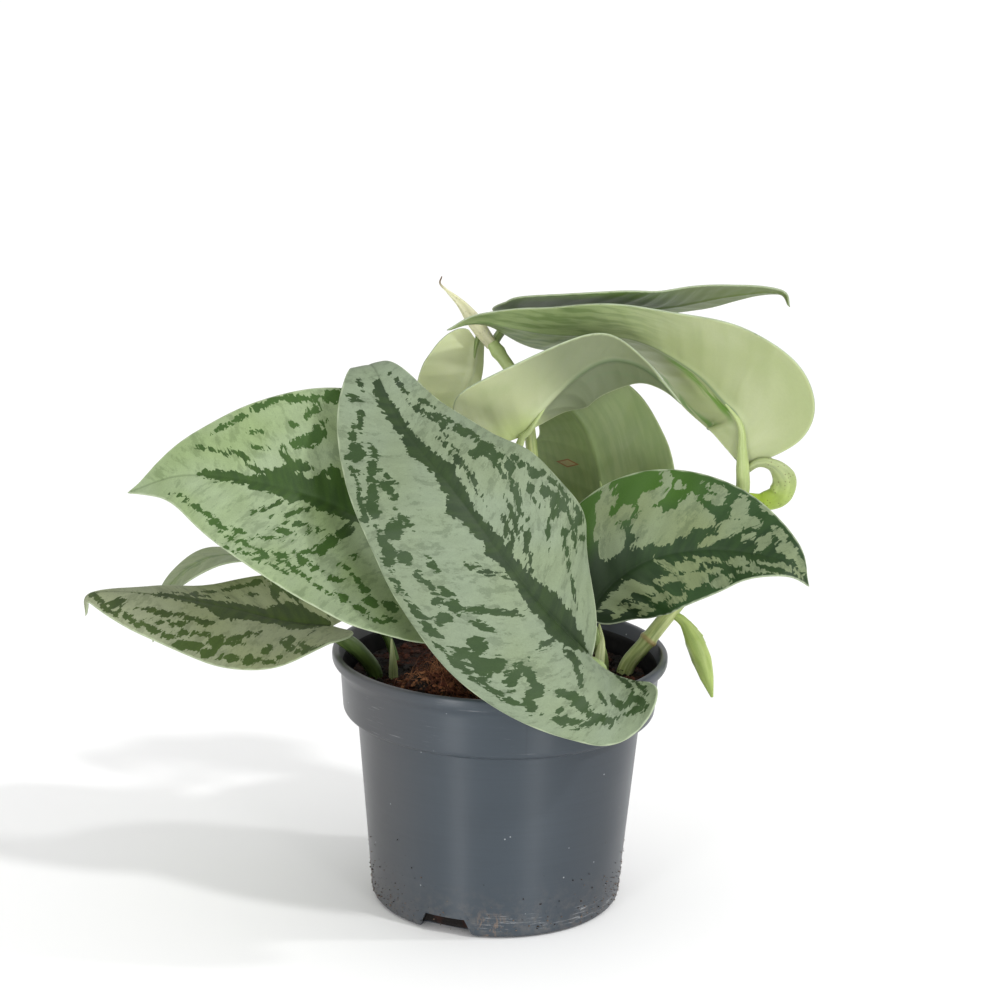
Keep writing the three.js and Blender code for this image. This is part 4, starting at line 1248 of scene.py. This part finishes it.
def make_pot():
    """The turned pot with its drain notches cut through the foot."""
    section, owners = rounded(POT_CORNERS)
    vertices, faces = revolve(section, POT_SEGMENTS)
    indices = ([0, 1] + [int(owner > LAST_OUTSIDE) for owner in owners[1:-2]]) * POT_SEGMENTS
    skins = [pot_plastic(), pot_inside_painted_shade()]
    pot = make_piece("nursery_pot_moulded", vertices, faces, skins, ["nursery_pot"], indices)
    cutters = [notch_cutter(angle) for angle in NOTCH_ANGLES]
    for cutter in cutters:
        cut = pot.modifiers.new("notch", "BOOLEAN")
        cut.operation = "DIFFERENCE"
        cut.solver = "EXACT"
        cut.object = cutter
    depsgraph = bpy.context.evaluated_depsgraph_get()
    mesh = bpy.data.meshes.new_from_object(pot.evaluated_get(depsgraph))
    pot.modifiers.clear()
    pot.data = mesh
    for cutter in cutters:
        bpy.data.objects.remove(cutter)
    mesh.set_sharp_from_angle(angle=math.radians(SHARP_EDGE))


def wall_radius(height):
    """Radius of the pot's outer wall, which widens evenly upwards."""
    (low, narrow), (high, broad) = WALL_ENDS
    return narrow + (broad - narrow) * (height - low) / (high - low)


def icosahedron():
    """Corners at distance 1 and triangles of an icosahedron."""
    g = (1 + math.sqrt(5)) / 2
    points = [
        (-1, g, 0), (1, g, 0), (-1, -g, 0), (1, -g, 0), (0, -1, g), (0, 1, g),
        (0, -1, -g), (0, 1, -g), (g, 0, -1), (g, 0, 1), (-g, 0, -1), (-g, 0, 1),
    ]
    faces = [
        (0, 11, 5), (0, 5, 1), (0, 1, 7), (0, 7, 10), (0, 10, 11), (1, 5, 9), (5, 11, 4),
        (11, 10, 2), (10, 7, 6), (7, 1, 8), (3, 9, 4), (3, 4, 2), (3, 2, 6), (3, 6, 8),
        (3, 8, 9), (4, 9, 5), (2, 4, 11), (6, 2, 10), (8, 6, 7), (9, 8, 1),
    ]
    return unit(np.array(points, float)), faces


def any_turn(heading, tilt):
    """Turn by tilt about X and then by heading about Z."""
    return np.array(Matrix.Rotation(heading, 3, "Z") @ Matrix.Rotation(tilt, 3, "X"))


class Lumps:
    """Many small knobbly bodies that become one piece, each with its own tint."""

    def __init__(self, seed):
        self.dice = random.Random(seed)
        self.shape, self.triangles = icosahedron()
        self.vertices, self.tints, self.faces = [], [], []

    def knobbly(self, low, high):
        """A body whose corners are drawn in or out."""
        return self.shape * np.array([[self.dice.uniform(low, high)] for _ in self.shape])

    def add(self, body, place, tint):
        start = len(self.vertices)
        self.vertices += (body + place).tolist()
        self.tints += [tint] * len(body)
        self.faces += [tuple(start + k for k in triangle) for triangle in self.triangles]

    def finish(self, name, material):
        coir_piece(name, self.vertices, self.faces, material, self.tints)


def make_grit(material):
    """Specks of soil that stick to the wall near the foot, most of them at the sides."""
    specks = Lumps(51)
    dice = specks.dice
    for _ in range(SPECKS):
        side = dice.choice((-1, 1))
        angle = math.radians(-90 + side * (92 - abs(dice.gauss(0, 34))))
        if dice.random() < 0.25:
            angle = dice.uniform(0, 2 * math.pi)
        height = 1.5 + abs(dice.gauss(0, 9.5)) * (1 if dice.random() < 0.8 else 0.4)
        size = 0.09 + 0.24 * dice.random() ** 3
        radius = wall_radius(height) + 0.3 * size
        turn = any_turn(dice.uniform(0, 6.3), dice.uniform(0, 6.3))
        body = specks.knobbly(0.6, 1.3) * size * (dice.uniform(0.7, 1.8), 0.8, 0.8)
        place = (radius * math.cos(angle), radius * math.sin(angle), height)
        specks.add(body @ turn.T, place, dice.random())
    specks.finish("foot_grit", material)


# ------------------------------------------------------------------ soil


def soil_height(x, y):
    mound = MOUND_HEIGHT * math.exp(-((x - MOUND[0]) ** 2 / 320 + (y - MOUND[1]) ** 2 / 240))
    return SOIL_TOP + mound + 0.7 * math.sin(x / 6) * math.cos(y / 7)


def mound_share(x, y):
    """1 on the mound, falling to 0.2 on the rest, where the coir is painted darker as shade."""
    return 0.2 + 0.8 * math.exp(-((x - LIGHT_COIR_SPOT[0]) ** 2 + (y - LIGHT_COIR_SPOT[1]) ** 2) / 420)


def make_soil(material):
    """Uneven top of the coir, closed below by a shallow skirt inside the pot."""
    dice = random.Random(11)
    rings, segments = 60, 150
    vertices, tints = [(0, 0, soil_height(0, 0))], [0.3]
    for i in range(1, rings + 1):
        for x, y, _ in circle(SOIL_RADIUS * i / rings, 0, segments):
            lump = 0.5 * math.sin(x * 1.3 + 2 * math.sin(y)) * math.sin(y * 1.1 + x * 0.4)
            height = soil_height(x, y) + lump + dice.uniform(-0.35, 0.35)
            vertices.append((x, y, height - (1.2 if i == rings else 0)))
            tints.append(dice.random() ** 2 * mound_share(x, y))
    skirt = len(vertices)
    vertices += circle(SKIRT_RADIUS, SKIRT_HEIGHT, segments)
    vertices.append((0, 0, SKIRT_HEIGHT))
    tints += [0.2] * (segments + 1)
    faces = []
    for j in range(segments):
        k = (j + 1) % segments
        faces.append((0, 1 + j, 1 + k))
        for a in range(1, skirt, segments):
            faces.append((a + j, a + j + segments, a + k + segments, a + k))
        faces.append((skirt + j, skirt + segments, skirt + k))
    coir_piece("coir_top", vertices, faces, material, tints, ["potting_soil"])


def make_soil_core(material):
    """The coir below the top, seen only through the drain notches, at the low tint that keeps it near black as
    painted shade.
    """
    vertices, faces = revolve(CORE, 72)
    coir_piece("coir_core", vertices, faces, material, [0.2] * len(vertices), ["potting_soil"])


def soil_spots(dice, count, box, reach):
    """Places drawn from a square and kept within reach of the middle, closer together on the mound."""
    while count:
        if dice.random() < 0.4:
            x, y = dice.gauss(LIGHT_COIR_SPOT[0], 12), dice.gauss(LIGHT_COIR_SPOT[1], 10)
        else:
            x, y = dice.uniform(-box, box), dice.uniform(-box, box)
        if math.hypot(x, y) <= reach:
            count -= 1
            yield x, y


def make_crumbs(material):
    """Loose crumbs of coir lying on the soil."""
    crumbs = Lumps(23)
    dice = crumbs.dice
    for x, y in soil_spots(dice, CRUMBS, CRUMB_REACH, CRUMB_REACH):
        size = 0.35 + 1.1 * dice.random() ** 2.5
        stretch = np.array([dice.uniform(0.7, 2.0), dice.uniform(0.6, 1.2), dice.uniform(0.4, 0.9)])
        turn = any_turn(dice.uniform(0, 6.3), dice.gauss(0, 0.5))
        body = crumbs.knobbly(0.65, 1.25) * stretch * size
        place = (x, y, soil_height(x, y) + 0.25 * size)
        crumbs.add(body @ turn.T, place, dice.random() * mound_share(x, y))
    crumbs.finish("coir_crumbs", material)


def make_fibres(material):
    """Coir fibres: thin bent hairs lying in and over the crumbs."""
    dice = random.Random(37)
    steps, sides = 9, 3
    vertices, tints, faces = [], [], []
    for x, y in soil_spots(dice, FIBRES, FIBRE_REACH + 1, FIBRE_REACH):
        length = dice.uniform(4, 15)
        heading = dice.uniform(0, 2 * math.pi)
        bend = dice.gauss(0, 0.16)
        lift = abs(dice.gauss(0, 3.4 * mound_share(x, y)))
        radius = dice.uniform(0.09, 0.2)
        tints += [dice.uniform(0.3, 1) * mound_share(x, y)] * (steps * sides)
        faces += tube_faces(steps, sides, len(vertices))
        for i in range(steps):
            share = i / (steps - 1)
            rise = max(0, 0.3 + lift * math.sin(math.pi * share) * (0.6 + share))
            height = soil_height(x, y) + rise
            for level, up, _ in circle(radius * (1.1 - 0.8 * share), 0, sides):
                vertices.append((x + level * math.sin(heading), y - level * math.cos(heading), height + up))
            x += length / steps * math.cos(heading)
            y += length / steps * math.sin(heading)
            heading += bend * length / steps + dice.gauss(0, 0.12)
            far = math.hypot(x, y)
            if far > FIBRE_LIMIT:
                x, y = x * FIBRE_LIMIT / far, y * FIBRE_LIMIT / far
    coir_piece("coir_fibres", vertices, faces, material, tints)


# ------------------------------------------------------------------ assembly of the plant

# Each upper face: silver, green, warmer silver, patch bias in mm, and what is special about its green.
# The colours are set leaf by leaf to how bright each leaf looks where it stands, so they carry painted light and
# shade: lighter on leaf_left and leaf_low_left, darker on leaf_right.
PLAIN_UPPER = ((121, 134, 111), (37, 53, 29), (119, 132, 104), 0.25, None)
UPPERS = {
    "leaf_left": ((140, 155, 123), (45, 67, 30), (130, 148, 104), 0.1, None),
    "leaf_low_left": ((138, 145, 117), (52, 66, 34), (132, 140, 105), 0.3, None),
    "leaf_back_left": ((124, 138, 102), (98, 116, 74), (130, 142, 104), -2, None),
    "leaf_right": ((112, 125, 96), (31, 51, 25), (110, 122, 86), -0.5, right_green),
    # leaf_top's upper face is dark green without silver: painted shade.
    "leaf_top": ((68, 90, 30), (36, 55, 8), (63, 84, 24), 2, top_green),
}
# Each underside: pale, shadow, how strongly the patches show through, and what only one leaf has.
# The colours are set leaf by leaf to how bright each leaf looks where it stands, so they carry painted light and
# shade: lighter on leaf_far_left, darker on leaf_back and leaf_arch.
PLAIN_UNDER = ((188, 198, 154), (164, 178, 128), 0.25, None)
UNDERS = {
    "leaf_middle": ((192, 198, 163), (176, 184, 142), 0.15, middle_extra),
    "leaf_back": ((132, 146, 102), (117, 133, 84), 0.15, back_extra),
    "leaf_arch": ((166, 174, 134), (153, 163, 116), 0.08, arch_extra),
    "leaf_far_left": ((204, 210, 170), (190, 198, 152), 0.08, None),
    # leaf_top's underside is dark green instead of pale: painted shade.
    "leaf_top": ((84, 112, 30), (76, 104, 24), 0.3, top_extra),
}
LEAVES = {
    "leaf_front": LEAF_FRONT, "leaf_left": LEAF_LEFT, "leaf_low_left": LEAF_LOW_LEFT,
    "leaf_back_left": LEAF_BACK_LEFT, "leaf_right": LEAF_RIGHT, "leaf_middle": LEAF_MIDDLE,
    "leaf_back": LEAF_BACK, "leaf_arch": LEAF_ARCH, "leaf_top": LEAF_TOP, "leaf_far_left": LEAF_FAR_LEFT,
}


def make_leaves():
    """Blade and petiole of each leaf. A leaf's place in LEAVES is the seed of its noise and patches."""
    skin = stem_skin("petiole_skin", (112, 132, 76), (146, 164, 106), (160, 178, 120), 3)
    dark = stem_skin("sheath_green_skin", (62, 84, 40), (92, 112, 58), (110, 126, 74), 13)
    bright = stem_skin("pale_petiole_skin", (150, 166, 104), (174, 187, 130), (164, 178, 122), 14)
    skins = {"leaf_low_left": dark, "leaf_back_left": dark, "leaf_middle": bright, "leaf_arch": bright}
    for seed, (name, leaf) in enumerate(LEAVES.items(), 1):
        upper = leaf_upper(name + "_upper", seed, *UPPERS.get(name, PLAIN_UPPER))
        under = leaf_under(name + "_under", seed, *UNDERS.get(name, PLAIN_UNDER))
        make_leaf(name + "_blade", leaf, seed, upper, under)
        petiole_tube(name + "_petiole", leaf, skins.get(name, skin))


def knuckles(share, angle):
    """A slightly uneven stem with two swollen nodes."""
    rings = 0.0
    for centre in (0.27, 0.97):
        rings += 0.2 * math.exp(-(((share - centre) / 0.012) ** 2))
    return 1 + rings + 0.03 * math.cos(2 * angle + 5 * share)


def rolled(share, angle):
    """A rolled blade, with the step of its outer margin winding along it."""
    turn = (angle / (2 * math.pi) + 0.35 * share) % 1
    return 0.86 + 0.24 * turn - 0.1 * math.exp(-(((turn - 0.55) / 0.06) ** 2))


def plain(share, angle):
    """A small shoot, barely ribbed."""
    return 1 + 0.04 * math.cos(3 * angle + 4 * share)


def make_stems():
    """Stems, young leaves and shoots, each with its own skin."""
    stem = stem_skin("stem_skin", (124, 142, 78), (188, 196, 136), (164, 180, 118), 5, ring=0.27)
    young = stem_skin("young_skin", (138, 158, 82), (170, 186, 112), (140, 160, 84), 6)
    curled = stem_skin("curled_skin", (132, 143, 100), (156, 168, 116), (158, 184, 58), 7, 0.6, 0.35)
    cream = stem_skin("sheath_skin", (186, 186, 146), (210, 208, 174), (88, 62, 44), 8, 0.3, 0.8)
    spear = stem_skin("spear_skin", (140, 152, 104), (180, 188, 144), (160, 168, 124), 9)
    pale = stem_skin("cataphyll_skin", (168, 180, 124), (196, 204, 156), (186, 196, 146), 10)
    make_tube("right_stem", *RIGHT_STEM, stem, "vine_right", 24, 160, knuckles)
    make_tube("curled_leaf", *CURLED_LEAF, curled, "vine_right", 36, 120, rolled, 0.8)
    make_tube("rolled_leaf", *ROLLED_LEAF, young, "vine_right", 36, 120, rolled, 0.85)
    make_tube("centre_stem", *CENTRE_STEM, stem, "vine_centre", 20, 160, knuckles)
    make_tube("shoot_sheath", *SHOOT_SHEATH, cream, "vine_centre", 30, 90, rolled, 0.8)
    make_tube("cataphyll", *CATAPHYLL, pale, "leaf_right", 20, 50, plain, 0.5)
    make_tube("soil_shoot_spear", *SOIL_SHOOT, spear, "soil_shoot", 20, 50, plain, 0.6)


# ------------------------------------------------------------------ camera, floor and light


def make_camera():
    """Camera that stands where the photograph was taken, looking along +Y and a little down."""
    data = bpy.data.cameras.new("camera")
    data.lens = CAMERA_LENS
    data.sensor_width = CAMERA_SENSOR
    data.clip_start, data.clip_end = CAMERA_CLIP
    camera = bpy.data.objects.new("camera", data)
    pitch, roll = math.radians(CAMERA_PITCH), math.radians(CAMERA_ROLL)
    forward = Vector((0, math.cos(pitch), -math.sin(pitch)))
    right = Vector((1, 0, 0))
    up = right.cross(forward)
    across = right * math.cos(roll) + up * math.sin(roll)
    upward = up * math.cos(roll) - right * math.sin(roll)
    matrix = Matrix((across, upward, -forward)).transposed().to_4x4()
    matrix.translation = Vector(CAMERA_PLACE) * MM
    camera.matrix_world = matrix
    bpy.context.scene.collection.objects.link(camera)
    bpy.context.scene.camera = camera


def make_floor():
    """White floor that fades into the room."""
    graph = Graph("studio_floor")
    cloud = graph.noise(graph.place(), 0.004, 2)
    color = graph.mix(cloud, (0.96, 0.96, 0.96, 1), (0.98, 0.98, 0.98, 1))
    material = graph.finish(color, 0.7, specular=0.2)
    mesh = bpy.data.meshes.new("studio_floor")
    reach = FLOOR_REACH
    corners = [(-reach, -reach, 0), (reach, -reach, 0), (reach, reach, 0), (-reach, reach, 0)]
    mesh.from_pydata(corners, [], [(0, 1, 2, 3)])
    mesh.materials.append(material)
    floor = bpy.data.objects.new("studio_floor", mesh)
    floor.location.z = -FLOOR_DROP
    bpy.context.scene.collection.objects.link(floor)


def aim_light(data, azimuth, elevation, distance, aim=(0, 0, 0)):
    """Point a light at a place in metres. Azimuth 0 is the viewer's side and 90 the right."""
    light = bpy.data.objects.new(data.name, data)
    azimuth, elevation = math.radians(azimuth), math.radians(elevation)
    level = math.cos(elevation)
    back = Vector((math.sin(azimuth) * level, -math.cos(azimuth) * level, math.sin(elevation)))
    light.location = Vector(aim) + back * distance
    light.rotation_mode = "QUATERNION"
    light.rotation_quaternion = (-back).to_track_quat("-Z", "Y")
    bpy.context.scene.collection.objects.link(light)


def make_sun(name, azimuth, elevation, energy):
    """Distant light, soft enough for a blurred shadow."""
    data = bpy.data.lights.new(name, "SUN")
    data.energy = energy
    data.angle = math.radians(SUN_ANGLE)
    aim_light(data, azimuth, elevation, SUN_DISTANCE)


def make_box(name, azimuth, elevation, distance, size, power):
    """Soft box aimed at the pot."""
    data = bpy.data.lights.new(name, "AREA")
    data.shape = "RECTANGLE"
    data.size, data.size_y = size
    data.energy = power
    aim_light(data, azimuth, elevation, distance, BOX_AIM)


def make_studio():
    """White room: pure white to the eye, a little dimmer as a light."""
    world = bpy.data.worlds.new("studio")
    world.use_nodes = True
    nodes, links = world.node_tree.nodes, world.node_tree.links
    seen = nodes.new("ShaderNodeLightPath").outputs["Is Camera Ray"]
    strength = nodes.new("ShaderNodeMath")
    strength.operation = "MULTIPLY_ADD"
    links.new(seen, strength.inputs[0])
    strength.inputs[1].default_value = 1 - ROOM_LIGHT
    strength.inputs[2].default_value = ROOM_LIGHT
    nodes["Background"].inputs["Color"].default_value = (1, 1, 1, 1)
    links.new(strength.outputs[0], nodes["Background"].inputs["Strength"])
    bpy.context.scene.world = world
    make_sun("key", 54, 46, 0.95)
    make_sun("low_key", 90, 36, 0.6)
    make_box("box_left", -30, 5, 1.4, (0.26, 0.4), 6.0)
    make_box("box_right", 30, 5, 1.4, (0.22, 0.4), 4.6)
    bpy.context.scene.view_settings.view_transform = "Standard"


make_camera()
make_floor()
make_studio()
make_pot()
# The dark ends of both coir colours are near black, painted shade for the soil inside the pot.
COIR_DARK = coir("coir", (14, 9, 7), (80, 46, 29), (56, 27, 16))
COIR_LOOSE = coir("coir_loose", (18, 11, 8), (168, 116, 80), (92, 46, 28))
make_soil(COIR_DARK)
make_soil_core(COIR_DARK)
make_crumbs(COIR_LOOSE)
make_fibres(COIR_LOOSE)
make_grit(grit())
make_leaves()
make_stems()
